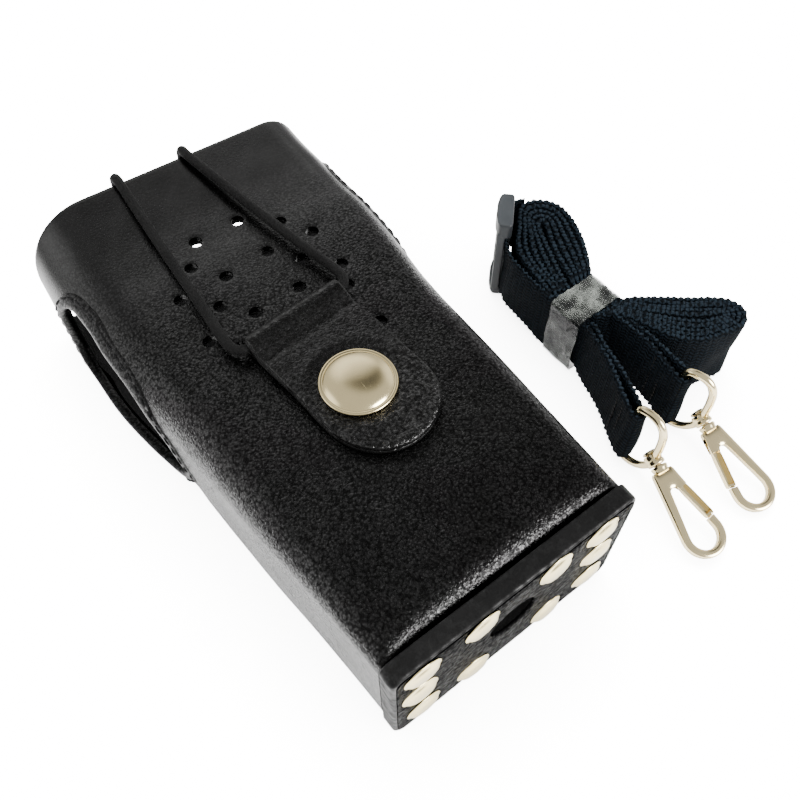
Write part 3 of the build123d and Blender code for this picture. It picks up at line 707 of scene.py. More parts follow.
def front_drop(x, y):
    """How far the front edge rolls down beside the base plate."""
    t = np.clip((y - 4.05) / 4.6, 0, 1)
    width = 1 - np.clip(np.abs(x) / 26.6, 0, 1) ** 7
    return 3.3 * (1 - np.sqrt(np.clip(1 - (1 - t) ** 2, 0, 1))) * width


def relief(P, outer=True):
    """Move surface points for the crown and rolled edge, and outside for the unevenness."""
    x, y, z = P.T
    top = np.array([curve(TOP, v) for v in y])
    front = smoothstep(-7.0, -0.6, z - top + 0.055 * np.abs(x) * (y > 100))
    half = np.array([curve(HALF_WIDTHS, v, 2) for v in y])
    crown = np.interp(y, *zip(*CROWN))
    dz = front * crown * (1 - np.clip(np.abs(x) / half, 0, 1) ** 2.6)
    dz = dz - front_drop(x, y) * front
    dx = 0
    if outer:
        # a dip and a raised ring round each hole
        for hx, hy in SPEAKER:
            r = np.hypot(x - hx, y - hy)
            dz = dz + front * (-0.20 * bell(r, 2.0) + 0.05 * bell(r - 2.3, 0.45))
        # a dip under the snap
        dz = dz - front * 0.25 * bell(np.hypot(x - 1.0, y - 48.1), 5.5)
        # soft unevenness, fading out at both ends
        uneven = 0.16 * lump(x, y, z, 9.0, 0.4) + 0.07 * lump(x, y, z, 3.7, 1.9)
        fade = smoothstep(4, 12, y) * smoothstep(126.5, 118, y)
        dz = dz + front * uneven * fade
        # puckers along the rolled edge
        pucker = 0.07 * np.sin(3.1 * x + 1.3 * np.sin(1.7 * x)) * np.sin(2.4 * y + 0.8 * x)
        dz = dz + front * bell(y - 7.2, 2.4) * (pucker + 0.05 * lump(x, y, z, 0.9, 0.3))
        side = (1 - front) * smoothstep(6.5, 10, z)
        dx = side * uneven * fade * np.sign(x) * 0.8
        # the side is drawn in a little at the lower end of each window
        pinch = bell(y - 66.0, 4.0) * bell(z - 8.0, 4.5)
        dx = dx - np.sign(x) * (1 - front) * 0.55 * pinch
    moved = P.copy()
    moved[:, 0] += dx
    moved[:, 2] += dz
    return moved


def side_x(y, z, side):
    """x of the case's outer side at (y, z)."""
    left, right, top, bottom, r_left, r_right, r_rear, tilt = section(y)
    half, r_front = (-left, r_left) if side < 0 else (right, r_right)
    share = min(max((z - bottom) / (top - bottom), 0), 1)
    flat_z = z - tilt * side * half * share
    x = half
    if flat_z > top - r_front:
        rise = min(flat_z - (top - r_front), r_front * 0.995)
        x = half - r_front + math.sqrt(r_front * r_front - rise * rise)
    elif flat_z < bottom + r_rear:
        fall = min(bottom + r_rear - flat_z, r_rear * 0.995)
        x = half - r_rear + math.sqrt(r_rear * r_rear - fall * fall)
    return float(relief(np.array([[side * x, y, z]]))[0, 0])


def mirrored(right_side):
    """Closed outline from its right-hand points, given from the low end up."""
    left = [(-x, y) for x, y in right_side[::-1]]
    return np.array(left[-1:] + right_side + left[:-1])


# ---------------------------------------------------------------- moulded shell and lining
SHELL_THICK = 1.4
END_Y, END_INNER_Y = 4.05, 5.25         # outer and inner face of the shell's closed end
# (y, inset) round the mouth's edge
RIM = [(125.0, 0.0), (125.7, 0.12), (125.98, 0.42), (126.0, 0.8), (125.8, 1.2),
       (125.2, SHELL_THICK)]
SPEAKER_RADIUS = 1.5
# opening in the rear of the shell, behind the back panel
REAR_GAP = mirrored([(20.6, 8.4), (22.6, 40), (24.6, 70), (27.6, 100), (28.1, 130)])


def shell_solid():
    ys = [END_Y, 4.08, 4.2, 4.45, 4.8, 5.25, 5.8, 6.45, 7.2, 8.0, 9.0, 10.2]
    for start, end, step in ((11.5, 55.5, 1.25), (56, 107, 0.52), (107.5, 124.8, 1.15)):
        ys += list(np.arange(start, end, step))
    inner_ys = list(np.linspace(123.0, 9.5, 46)) + [7.5, 6.2, END_INNER_Y]
    outer = [relief(section_ring(y)) for y in ys]
    rim = [relief(section_ring(y, inset), inset < 1) for y, inset in RIM]
    inner = [relief(section_ring(y, SHELL_THICK), False) for y in inner_ys]

    def toward_middle(row, share, y):
        centre = np.array([0.0, 0.0, 17.4])
        q = centre + (row - centre) * share
        q[:, 1] = y
        return q

    end = [toward_middle(inner[-1], k, END_INNER_Y) for k in (0.97, 0.85, 0.6)]
    end += [toward_middle(outer[0], k, END_Y) for k in (0.56, 0.8, 0.93)]
    return loft(outer + rim + inner + end, loop=True)


def lining_solid():
    """Cloth bonded inside, its edge turned back at the mouth."""
    lift = 0.95

    def ring(y, inset):
        return relief(section_ring(y, inset, lift), False)

    def wavy(row, height):
        d = row - row.mean(0)
        d[:, 1] = 0
        wave = height * lump(row[:, 0], row[:, 1], row[:, 2], 7.0, 2.2)
        return row - unit(d) * np.clip(wave + height, 0, None)[:, None]

    ys = [124.4] + list(np.linspace(122.0, 10.5, 44)) + [9.2]
    return loft([ring(124.75, 1.85)] + [ring(y, 1.62) for y in ys] + [ring(8.9, 1.9)]
                + [wavy(ring(y, 2.15), 0.1) for y in ys[::-1]], loop=True)


def build_shell():
    shell = make_object("shell", shell_solid(), SHELL_LEATHER)
    openings = [prism(WINDOW, -48, -18, on_yz), prism(WINDOW[::-1], 18, 48, on_yz)]
    openings += [prism(circle(x, y, SPEAKER_RADIUS, 28), 24, 42, on_xy) for x, y in SPEAKER]
    openings.append(prism(REAR_GAP, -1, 4.6, on_xy))
    cutter = make_object("cutter", join(openings), smooth=False)
    cut(shell, cutter)
    shade(shell.data, 38)
    attach(shell, "case", "outer_shell")
    lining = make_object("lining", lining_solid(), LINING_CLOTH)
    cut(lining, cutter)
    shade(lining.data, 38)
    remove(cutter)
    attach(lining, "case", "pocket_lining")


# ---------------------------------------------------------------- window trims
# (outward from the window's edge, height over the side)
TRIM = [(-0.22, -1.9), (-0.34, -0.9), (-0.30, -0.1), (-0.08, 0.22), (0.3, 0.40), (0.8, 0.47),
        (1.3, 0.48), (1.7, 0.42), (1.98, 0.26), (2.2, 0.34), (2.45, 0.3), (2.65, 0.14),
        (2.72, -0.1), (2.4, -0.35), (1.2, -0.45), (0.25, -0.6), (0.05, -1.2), (0.0, -1.9)]


def build_window_trim(side, name):
    groove, thread_height, pitch, lowest_stitch = 1.98, 0.27, 3.0, 4.2
    normals = outward_normals(WINDOW)

    def on_side(y, z, height):
        return side_x(y, z, side) + side * height, y, z

    rows = []
    for outward, height in TRIM:
        q = WINDOW + normals * outward
        z = np.clip(q[:, 1], 3.3 if outward > 0.5 else 3.9, None)
        rows.append(np.array([on_side(q[i, 0], z[i], height) for i in range(len(q))]))
    stitches = []
    for here, after in stitch_marks(WINDOW + normals * groove, pitch):
        if here[1] >= lowest_stitch:
            a, b = (np.array(on_side(*p, thread_height)) for p in (here, after))
            stitches.append(stitch(a, b - a, (side, 0, 0)))
    piece("window_trim_" + name + "_skin", loft(rows, loop=True), TRIM_LEATHER, "case",
          "window_trim_" + name)
    piece("window_stitches_" + name, join(stitches), THREAD, "case")


# ---------------------------------------------------------------- base plate, facing, rivets
PLATE_W, PLATE_D, PLATE_RADIUS = 54.9, 33.3, 2.3
PLATE_MID = (0.0, PLATE_D / 2)
HOLE = (-0.6, 18.7)         # (x, z) of the round hole
RIVETS = [(-21.4, 28.8), (-21.8, 18.6), (-20.8, 7.0), (-8.7, 28.8), (-8.8, 5.0), (8.0, 28.8),
          (9.8, 5.0), (19.2, 28.8), (20.1, 18.5), (20.4, 7.0)]      # (x, z)
# (inset, y, waviness) round the plate's edge, from its inner face to its outer face
PLATE_EDGE = [(1.6, 4.0, 0), (0.45, 4.0, 0), (0.12, 3.88, 0), (0.0, 3.6, 0.10), (0.0, 3.0, 0.14),
              (0.0, 2.2, 0.16), (0.0, 1.4, 0.14), (0.02, 0.9, 0.1), (0.16, 0.5, 0),
              (0.42, 0.26, 0), (0.75, 0.2, 0), (0.95, 0.5, 0), (1.4, 0.68, 0)]
# (radius, height) of a rivet cap and its shank
RIVET = [(0.0, -1.02), (0.5, -1.015), (1.2, -0.98), (1.9, -0.92), (2.5, -0.82), (2.9, -0.66),
         (3.2, -0.43), (3.42, -0.27), (3.66, -0.19), (3.84, -0.12), (3.88, -0.03), (3.86, 0.05),
         (3.6, 0.12), (2.0, 0.12), (1.28, 0.2), (1.25, 1.2), (1.2, 2.2), (0.0, 2.2)]
plate_outline = round_rect(PLATE_W, PLATE_D, PLATE_RADIUS, PLATE_MID)
HOLE_ANGLES = np.arctan2(plate_outline[:, 1] - HOLE[1], plate_outline[:, 0] - HOLE[0])


def plate_ring(inset, y, waviness=0.0):
    outline = round_rect(PLATE_W - 2 * inset, PLATE_D - 2 * inset,
                         max(PLATE_RADIUS - inset * 0.6, 0.8), PLATE_MID)
    q = polar(outline, HOLE, HOLE_ANGLES)
    if waviness:
        wave = waviness * lump(q[:, 0], y, q[:, 1], 5.0, 3.0) / 30
        q = q + (q - np.array(PLATE_MID)) * wave[:, None]
        q[:, 1] = np.clip(q[:, 1], 0.0, PLATE_D + 0.05)
    return on_xz(q, y)


def hole_ring(radius, y):
    return on_xz(np.stack([HOLE[0] + radius * np.cos(HOLE_ANGLES),
                           HOLE[1] + radius * np.sin(HOLE_ANGLES)], 1), y)


def facing_y(q):
    """Outer face of the facing: coarse grain, a groove inside the border, and a press mark
    round each rivet and the hole."""
    x, z = q[:, 0], q[:, 2]
    edge = np.minimum.reduce([x + PLATE_W / 2, PLATE_W / 2 - x, z, PLATE_D - z])
    y = -0.02 + 0.12 * bell(edge - 1.75, 0.28) - 0.05 * smoothstep(1.9, 3.0, edge)
    grain = np.sin(5.1 * x + 1.9 * np.sin(2.3 * z)) * np.sin(4.7 * z + 1.7 * np.sin(2.9 * x + 0.7))
    y = y - 0.035 * grain - 0.03 * lump(x, 0, z, 1.1, 0.5)
    for rx, rz in RIVETS:
        y = y + 0.16 * bell(np.hypot(x - rx, z - rz) - 4.0, 0.7)
    return y + 0.22 * bell(np.hypot(x - HOLE[0], z - HOLE[1]) - 5.2, 0.55)


def build_base():
    rows = [hole_ring(5.3, 4.0), hole_ring(7.5, 4.0)]
    rows += [plate_ring(*station) for station in PLATE_EDGE]
    rows += [hole_ring(r, y) for r, y in ((7.0, 0.68), (5.3, 0.68), (5.28, 2.0), (5.3, 3.4))]
    piece("base_plate", loft(rows, loop=True), EDGE_PAINT, "case",
          "end_plate_core", sharp=50)

    hole_radius, border, back_y = 5.25, 0.86, 0.66
    inner, outer = hole_ring(hole_radius, 0.0), plate_ring(border, 0.0)
    rows = []
    for t in np.linspace(0, 1, 60):
        q = inner * (1 - t) + outer * t
        q[:, 1] = facing_y(q)
        rows.append(q)
    rows += [plate_ring(border, 0.12), plate_ring(0.95, back_y), hole_ring(8.0, back_y),
             hole_ring(hole_radius, back_y)]
    piece("base_facing", loft(rows, loop=True), FACING_LEATHER, "case",
          "end_plate_facing")

    caps = []
    for x, z in RIVETS:
        lean = rng.uniform(-0.035, 0.035, 2)
        caps.append(lathe(RIVET, (x, 0.0, z), (lean[0], 1.0, lean[1]), 56))
    piece("base_rivets", join(caps), RIVET_NICKEL, "case", "base_rivet_caps", sharp=60)


# ---------------------------------------------------------------- snap tab
# Tab coordinates: a across the tab, b along it, 0 at the fold and negative toward the tip.
TAB_ANGLE = math.radians(4.4)
FOLD = (0.55, 69.0, 35.75)
ACROSS = np.array([math.cos(TAB_ANGLE), math.sin(TAB_ANGLE)])
ALONG = np.array([-math.sin(TAB_ANGLE), math.cos(TAB_ANGLE)])
TAB_HALF, TIP_RADIUS, TIP_B = 11.65, 11.5, -25.5
CAP = (1.0, 48.1)           # (x, y) of the snap cap
CAP_A, CAP_B = ((np.array(CAP) - np.array(FOLD[:2])) @ axis for axis in (ACROSS, ALONG))
# how far each row of the tab's faces lies from its edge (0) toward its middle line (1)
TAB_ROWS = [1.0, 0.88, 0.74, 0.62, 0.52, 0.44, 0.36, 0.29, 0.23, 0.18, 0.14, 0.105, 0.078,
            0.056, 0.040, 0.028, 0.018, 0.010, 0.004, 0.0]
# (share of the thickness, inward share) down the cut edge
TAB_EDGE = [(0.3, 0.0), (0.45, 0.006), (0.5, 0.016), (0.55, 0.006), (0.7, 0.0)]
# (radius, z) of the cap
CAP_PROFILE = [(0.0, 39.02), (0.8, 39.01), (1.8, 38.95), (3.0, 38.8), (4.2, 38.55), (5.2, 38.22),
               (5.9, 37.9), (6.35, 37.62), (6.6, 37.4), (6.72, 37.22), (6.82, 37.16),
               (6.98, 37.18), (7.2, 37.24), (7.42, 37.2), (7.55, 37.05), (7.58, 36.85),
               (7.5, 36.66), (7.2, 36.58), (5.0, 36.55), (2.0, 36.5), (1.9, 35.2), (0.0, 35.2)]


def tab_xy(a, b):
    return FOLD[0] + a * ACROSS[0] + b * ALONG[0], FOLD[1] + a * ACROSS[1] + b * ALONG[1]


def tab_outline():
    sides = np.linspace(2.0, -25.4, 64)
    points = [(-TAB_HALF, b) for b in sides]
    for t in np.radians(np.linspace(0, 180, 72)[1:-1]):
        points.append((-TIP_RADIUS * math.cos(t), TIP_B - TIP_RADIUS * math.sin(t)))
    points += [(TAB_HALF, b) for b in np.linspace(-25.4, 2.0, 64)]
    points += [(a, 2.13) for a in np.linspace(TAB_HALF, -TAB_HALF, 44)[1:-1]]
    P = np.array(points)
    P[:, 0] += 0.12 * np.sin(P[:, 1] * 0.35) * (np.abs(P[:, 0]) > 8)
    return P


def tab_top(a, b):
    roll = FOLD[2] + np.sqrt(np.clip(2.15 ** 2 - np.clip(b, 0, 2.15) ** 2, 0, None))
    flat = 36.6 + (37.9 - 36.6) * smoothstep(-5.4, 0.0, b) ** 1.1
    z = np.where(b > 0, roll, flat)
    # a crease below the fold, then a dip and a swell round the cap
    z = z - 0.30 * bell(b + 5.0 + 0.25 * np.sin(a * 0.5), 0.75)
    r = np.hypot(a - CAP_A, b - CAP_B)
    z = z - 0.32 * bell(r - 7.4, 1.5) + 0.16 * bell(r - 10.3, 1.2)
    # unevenness, and the sides and tip bending down
    return (z + 0.10 * lump(a, b, 0 * a, 4.6, 0.8)
            - 0.25 * smoothstep(6, 12, np.abs(a)) * smoothstep(2, -8, b)
            - 0.25 * smoothstep(-32, -37, b))


def tab_bottom(a, b):
    roll = FOLD[2] - np.sqrt(np.clip(2.1 ** 2 - np.clip(b, 0, 2.1) ** 2, 0, None))
    flat = 34.12 - (34.12 - 33.85) * smoothstep(-5.0, 0.0, b)
    return np.where(b > 0, np.maximum(roll, 33.85), flat)


def build_tab():
    outline = tab_outline()
    middle = np.stack([np.zeros(len(outline)), np.clip(outline[:, 1], TIP_B, -9.5)], 1)
    rounding = 0.6

    def row(share, top):
        a, b = (outline + (middle - outline) * share).T
        depth = np.minimum(TAB_HALF - np.abs(a),
                           TIP_RADIUS - np.hypot(a, np.clip(b - TIP_B, None, 0)))
        inside = np.clip(rounding - depth, 0, rounding)
        drop = rounding - np.sqrt(np.clip(rounding ** 2 - inside ** 2, 0, None))
        z = tab_top(a, b) - drop if top else tab_bottom(a, b) + drop * 0.7
        return np.stack([*tab_xy(a, b), z], 1)

    rows = [row(share, True) for share in TAB_ROWS]
    upper, lower = row(0.0, True), row(0.0, False)
    for k, share in TAB_EDGE:
        q = upper * (1 - k) + lower * k
        q[:, :2] = row(share, True)[:, :2]
        rows.append(q)
    rows += [row(share, False) for share in TAB_ROWS[::-1]]
    tab = make_object("tab_skin", loft(rows), TAB_LEATHER)
    tab.data.materials.append(EDGE_PAINT)
    # painted edge on the cut sides
    for face in tab.data.polygons:
        x, y = face.center.x * 1000, face.center.y * 1000 - FACE_Y
        b = np.array([x - FOLD[0], y - FOLD[1]]) @ ALONG
        if abs(face.normal.z) < 0.55 and b < -1.0:
            face.material_index = 1
    attach(tab, "tab", "snap_tab")
    piece("snap_cap_dome", lathe(CAP_PROFILE, (*CAP, 0), (0.0, 0.0, 1.0), 112), CAP_NICKEL,
          "tab", "snap_cap", sharp=65)


# ---------------------------------------------------------------- elastic cord
CORD_X = (-9.6, 7.2)
CORD_RADIUS = 1.1
CORD_BEND = [(13.95, 3.3), (13.65, 1.5), (12.9, 0.45), (11.9, 0.05), (10.5, 0)]     # tab (a, b)
# (y, z) from the anchor, under the shell and up across the mouth
CORD_RISE = [(112.0, 1.95), (118.0, 1.85), (122.0, 1.5), (125.4, 1.4), (126.9, 1.85),
             (127.45, 4.0), (127.42, 10.0), (127.42, 20.0)]


def cord_leg(i):
    """One half of the cord, from its anchor to the tab's fold."""
    x, side = CORD_X[i], (-1, 1)[i]
    rim = curve(TOP, MOUTH_Y) + curve(TILT, MOUTH_Y) * x
    points = [(x, y, z) for y, z in CORD_RISE]
    points += [(x, 127.4, rim - 3.0), (x, 127.25, rim - 0.4), (x + 0.02 * i, 126.3, rim + 1.0),
               (x, 124.6, rim + 1.25)]
    bend = [(*tab_xy(side * a, b), FOLD[2]) for a, b in CORD_BEND]
    start, end = np.array(points[-1]), np.array(bend[0])
    for t in (0.18, 0.4, 0.62, 0.82):
        q = start * (1 - t) + end * t
        q[2] -= 0.55 * math.sin(math.pi * t)        # sag
        points.append(tuple(q))
    return points + bend


def build_cord():
    def braid(s, a):
        twist = np.sin(3 * a + 4.2 * s) * np.sin(3 * a - 4.2 * s)
        return 1 + 0.035 * twist + 0.012 * np.sin(8 * a)

    path = catmull(cord_leg(0) + cord_leg(1)[::-1], 0.36)
    cord = make_object("cord_loop", tube(path, CORD_RADIUS, 20, braid), CORD_BRAID)
    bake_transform(cord)
    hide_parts("elastic_cord", "cord_ends")


# ---------------------------------------------------------------- folded webbing
BAND_X, BAND_Z = (55.4, 69.6), (0.05, 18.6)
BAND_Y = (41.0, 50.4)       # the webbing is squeezed between these
WEB_ROWS = 30
# folds away from the hooks and near them: outer line and the line they close in on, (x, y)
FAR_FOLD = [(56.3, 45.0), (56.3, 50.9), (57.0, 57.5), (58.5, 63.6), (60.6, 67.6), (64.3, 71.6),
            (67.8, 75.2), (70.7, 76.9), (74.5, 75.6), (77.6, 70.9), (77.3, 65.5), (75.0, 60.0),
            (71.2, 54.0), (68.75, 49.6), (68.75, 45.0)]
FAR_MIDDLE = [(62.5, 44.0), (62.6, 51.5), (64.6, 57.5), (67.2, 63.5), (69.8, 68.6)]
NEAR_FOLD = [(68.75, 46.2), (68.75, 41.2), (70.6, 39.2), (74.2, 36.2), (80.0, 31.5),
             (84.4, 28.3), (87.0, 24.9), (87.2, 21.0), (84.6, 18.9), (80.0, 19.3), (74.6, 20.6),
             (70.4, 24.6), (67.6, 31.0), (64.9, 37.2), (60.9, 41.8), (60.9, 46.2)]
NEAR_MIDDLE = [(64.9, 46.2), (65.2, 41.2), (68.2, 36.0), (73.4, 29.8), (78.6, 25.6),
               (82.6, 23.6)]
BARS = {1: (49.3, 16.8), 2: (64.0, 17.2)}       # (x, y) of each hook eye's bar
TAILS = {1: [(58.1, 44.0), (58.0, 40.4), (55.7, 34.0), (52.7, 25.4), (50.4, 19.6)],
         2: [(64.4, 44.0), (64.7, 39.6), (64.9, 29.0), (64.5, 21.5)]}
# (seam start, seam end, distance of the threads from the web's middle)
BARTACKS = [((51.5, 22.2), (50.6, 19.9), 1.55), ((64.8, 24.6), (64.6, 21.9), 1.5)]
# the slider's centre and its axes, along the web and out of it
SLIDER, SLIDER_ALONG, SLIDER_OUT = (np.array(v) for v in ((62.4, 73.5), (0.70, 0.714),
                                                         (0.714, -0.70)))


def on_slider(p, z):
    p = np.asarray(p, float)
    return on_xy(SLIDER + p[:, :1] * SLIDER_ALONG + p[:, 1:] * SLIDER_OUT, z)


def web_strip(plan, seed, z0=0.35, z1=19.6, thick=1.15):
    """Webbing on edge along a plan curve (x, y): ribbed faces, corded edges.
    Returns the solid and each point's run along the strip."""
    P = catmull(plan, 0.34)
    N = plan_frames(P)[1]
    along = distances(P)
    level = np.linspace(0, 1, WEB_ROWS)
    from_middle = np.abs(level - 0.5)
    cord = np.clip((from_middle - 0.40) / 0.08, 0, 1)
    thin = 1 - 0.55 * np.clip((from_middle - 0.46) / 0.04, 0, 1)
    rows = []
    for p, n, s in zip(P, N, along):
        squeeze = float(smoothstep(38.4, BAND_Y[0], p[1]) * smoothstep(53.0, BAND_Y[1], p[1]))
        low = z0 + 0.3 * squeeze
        high = (z1 - 1.55 * squeeze
                - 0.35 * (1 - squeeze) * (0.5 + 0.5 * math.sin(0.21 * s + seed * 2.1))
                - 0.26 * abs(math.sin(math.pi * s / 1.5 + seed)))
        z = low + (high - low) * level
        # ribs in columns, every other column shifted by half a rib
        column = math.sin(math.pi * s / 2.1 + seed)
        phase = math.pi * (math.floor(s / 2.1 + seed / math.pi) % 2)
        rib = 0.10 * abs(column) ** 0.6 * (0.72 + 0.5 * np.sin(2 * math.pi * z / 1.18 + phase))
        width = (thick / 2) * thin + rib * (1 - 0.25 * squeeze)
        drift = 0.22 * (1 - squeeze) * np.sin(0.33 * s + 0.35 * z + seed)
        weave = 2 * math.pi * s / 1.5 + seed * 1.7
        ripple = 0.17 * math.sin(weave) + 0.07 * math.sin(2 * math.pi * s / 0.94 + seed)
        drift = drift + cord * (1 - 0.6 * squeeze) * ripple
        width = width + 0.10 * cord * math.cos(weave)
        side_a = np.c_[p + np.outer(width + drift, n), z]
        side_b = np.c_[p - np.outer(width - drift, n), z]
        rows.append(np.vstack([side_a, side_b[::-1]]))
    points, faces = loft(rows)
    size = len(rows[0])
    for base in (0, len(points) - size):
        for k in range(WEB_ROWS - 1):
            faces.append((base + k, base + k + 1, base + size - 2 - k, base + size - 1 - k))
    return (points, faces), np.repeat(along + 7.3 * seed, size)


def nested(outline, middle, first, count=5):
    """Curves inside an open outline, closing in on a line through its middle."""
    outer = catmull(outline, 0.8)
    line = catmull(middle, 0.4)
    target = np.array([line[np.argmin(np.linalg.norm(line - p, axis=1))] for p in outer])
    for j in (0, 1):
        target[:, j] = np.convolve(np.pad(target[:, j], 4, mode="edge"), np.ones(9) / 9, "valid")
    return [outer + (target - outer) * ((first + i) / (count + 0.12)) for i in range(count)]


def bar_loop(path, bar, gap=1.52):
    """Web end doubled back round an eye's bar: out along one side, round, and back."""
    line = catmull(path + [bar], 0.7)
    T, N = plan_frames(line)
    spread = np.minimum(gap, 0.62 + 0.9 * (np.arange(len(line) - 2) / len(line)) ** 3)
    offset = N[:-2] * spread[:, None]
    arc = [np.array(bar) + N[-1] * gap * math.sin(v) + T[-1] * gap * math.cos(v)
           for v in np.radians(np.linspace(90, -90, 9))]
    return np.vstack([line[:-2] + offset, arc, (line[:-2] - offset)[::-1]])


def build_webbing():
    strips = [web_strip(plan, i * 1.3 + 0.4)
              for i, plan in enumerate(nested(FAR_FOLD, FAR_MIDDLE, first=0.45))]
    strips += [web_strip(plan, i * 1.7 + 2.2)
               for i, plan in enumerate(nested(NEAR_FOLD, NEAR_MIDDLE, first=0.35))]
    for k, seed in ((1, 0.9), (2, 3.1)):
        strips.append(web_strip(bar_loop(TAILS[k], BARS[k]), seed, z0=2.1, z1=19.3, thick=0.85))
    piece("webbing_folds", join([solid for solid, _ in strips]), WEB_WEAVE, "strap",
          "strap_webbing", run=np.concatenate([run for _, run in strips]))

    # the run that passes through the slider
    in_slider = [(-7.9, 1.3), (-6.3, 0.70), (-4.6, 0.46), (-2.6, 0.42), (0.0, 0.42), (3.0, 0.42),
                 (6.2, 0.43), (8.2, 0.3)]
    plan = [(57.0, 45.0), (56.2, 51.5), (55.95, 56.0), (56.1, 61.0), (56.8, 65.3)]
    plan += on_slider(in_slider, 0.0)[:, :2].tolist() + [(70.2, 78.3), (72.2, 77.6)]
    solid, run = web_strip(plan, 5.0, z0=2.7, z1=19.6, thick=0.5)
    piece("webbing_slider_run", solid, WEB_WEAVE, "strap", run=run)

    # bartack stitches on the two web ends
    stitches = []
    for start, end, offset in BARTACKS:
        start, end = np.array([*start, 0.0]), np.array([*end, 0.0])
        d = unit(end - start)
        normal = np.array([-d[1], d[0], 0.0])
        for sign in (-1, 1):
            for point in (start, end):
                for z in np.arange(3.6, 18.2, 1.35):
                    centre = point + normal * sign * offset + np.array([0, 0, z])
                    stitches.append(stitch(centre, (0, 0, 1), normal * sign, 1.0, 0.16))
    piece("web_end_stitches", join(stitches), THREAD, "strap")


def band_ring(y, inset):
    centre = np.array([sum(BAND_X) / 2, sum(BAND_Z) / 2])
    q = closed(round_rect(BAND_X[1] - BAND_X[0] - 2 * inset, BAND_Z[1] - BAND_Z[0] - 2 * inset,
                          max(1.6 - inset, 0.5), centre, step=0.55))
    places = np.linspace(0, len(q) - 1, 112, endpoint=False)
    q = np.stack([np.interp(places, range(len(q)), q[:, j]) for j in (0, 1)], 1)
    # the film dips between the web's edges on top, and is a little uneven all round
    dip = 0.20 * np.sin(q[:, 0] * 2 * math.pi / 2.35) * smoothstep(15, 18.3, q[:, 1])
    dip = dip + 0.16 * lump(q[:, 0], y, q[:, 1], 2.6, 1.1)
    q = q - unit(q - centre) * (0.22 + dip)[:, None]
    q[:, 1] = np.clip(q[:, 1], 0.12 + inset, None)
    skew = 0.32 * (q[:, 0] - centre[0]) * (0.16 if y < 45 else 0.1)
    return on_xz(q, y + skew + 0.14 * np.sin(q[:, 1] * 0.55 + q[:, 0] * 0.4))


def build_band():
    ys = np.linspace(41.35, 50.05, 24)
    rows = [band_ring(y, 0.0) for y in ys] + [band_ring(y, 0.22) for y in ys[::-1]]
    piece("clear_band_sleeve", loft(rows, loop=True), BAND_FILM, "strap",
          "bundle_band", sharp=60)


# ---------------------------------------------------------------- hooks
# number: (eye's direction in plan, swivel centre, bow tip, side its gate faces in x)
HOOKS = {1: ((0.14, -0.99), (50.28, 9.85, 7.2), (46.95, -13.9, 1.2), 1),
         2: ((0.35, -0.937), (66.45, 10.62, 6.9), (64.2, -12.0, 1.2), -1)}
# (distance from the bar, z) of the eye's wire
EYE = [(0.0, 6.0), (0.0, 2.6), (0.55, 1.25), (1.9, 0.98), (3.6, 1.3), (5.2, 2.4), (6.4, 4.2),
       (7.0, 6.6), (7.1, 10.0), (7.0, 14.2), (6.55, 17.0), (5.3, 19.2), (3.5, 20.25),
       (1.8, 20.4), (0.5, 20.0), (0.0, 18.6), (0.0, 14.0)]
# turned parts of the swivel, (radius, distance toward the tip)
BARREL = [(0.97, 1.52), (1.5, 1.5), (1.88, 1.38), (1.98, 1.15), (1.98, 0.55), (1.86, 0.42),
          (1.86, 0.28), (1.98, 0.15), (1.98, -0.6), (1.9, -0.9), (1.8, -1.08), (1.1, -1.1),
          (0.97, -1.0), (0.97, 0.2), (0.97, 1.52)]
NECK = [(0.0, -2.02), (0.9, -2.0), (1.35, -1.9), (1.58, -1.65), (1.58, -1.35), (1.3, -1.22),
        (0.9, -1.18), (0.9, 1.7), (1.5, 1.72), (1.85, 1.85), (1.9, 2.1), (1.84, 2.4),
        (1.7, 2.75), (1.6, 3.3), (0.0, 3.4)]
BOW_LENGTH, BOW_RADIUS, BOW_INNER_RADIUS = 23.6, 5.0, 3.2
BOW_END = BOW_LENGTH - BOW_RADIUS       # centre of the round end
# (share of the way from inner to outer outline, height) round the bow's section
BOW_SECTION = [(0.0, 0.30), (0.02, 0.56), (0.08, 0.72), (0.17, 0.83), (0.32, 0.93), (0.5, 0.97),
               (0.68, 0.93), (0.83, 0.83), (0.92, 0.72), (0.98, 0.56), (1.0, 0.30),
               (1.0, -0.35), (0.98, -0.62), (0.91, -0.82), (0.8, -0.9), (0.5, -0.92),
               (0.2, -0.9), (0.09, -0.82), (0.02, -0.62), (0.0, -0.35)]
BOX_FACES = [(3, 2, 1, 0), (4, 5, 6, 7), (0, 1, 5, 4), (1, 2, 6, 5), (2, 3, 7, 6), (3, 0, 4, 7)]


def bow_solid(to_world):
    """Cast plate with rounded edges and a long opening."""
    centre = np.array([13.0, 0.0])
    angles = np.linspace(0, 2 * np.pi, 168, endpoint=False)
    root = [(2.9, -2.35), (2.9, 2.35), (3.4, -2.6), (3.4, 2.6)]
    outlines = (hull(np.vstack([circle(8.4, 0, 1.15, 60),
                                circle(BOW_END, 0, BOW_INNER_RADIUS, 60)])),
                hull(np.vstack([root, circle(BOW_END, 0, BOW_RADIUS, 60)])))
    inner, outer = (np.linalg.norm(polar(resample(o, count=900), centre, angles) - centre, axis=1)
                    for o in outlines)
    rows = []
    for share, z in BOW_SECTION:
        R = inner * (1 - share) + outer * share
        q = centre + np.stack([R * np.cos(angles), R * np.sin(angles)], 1)
        rows.append(to_world(on_xy(q, z)))
    return loft(rows, loop=True)


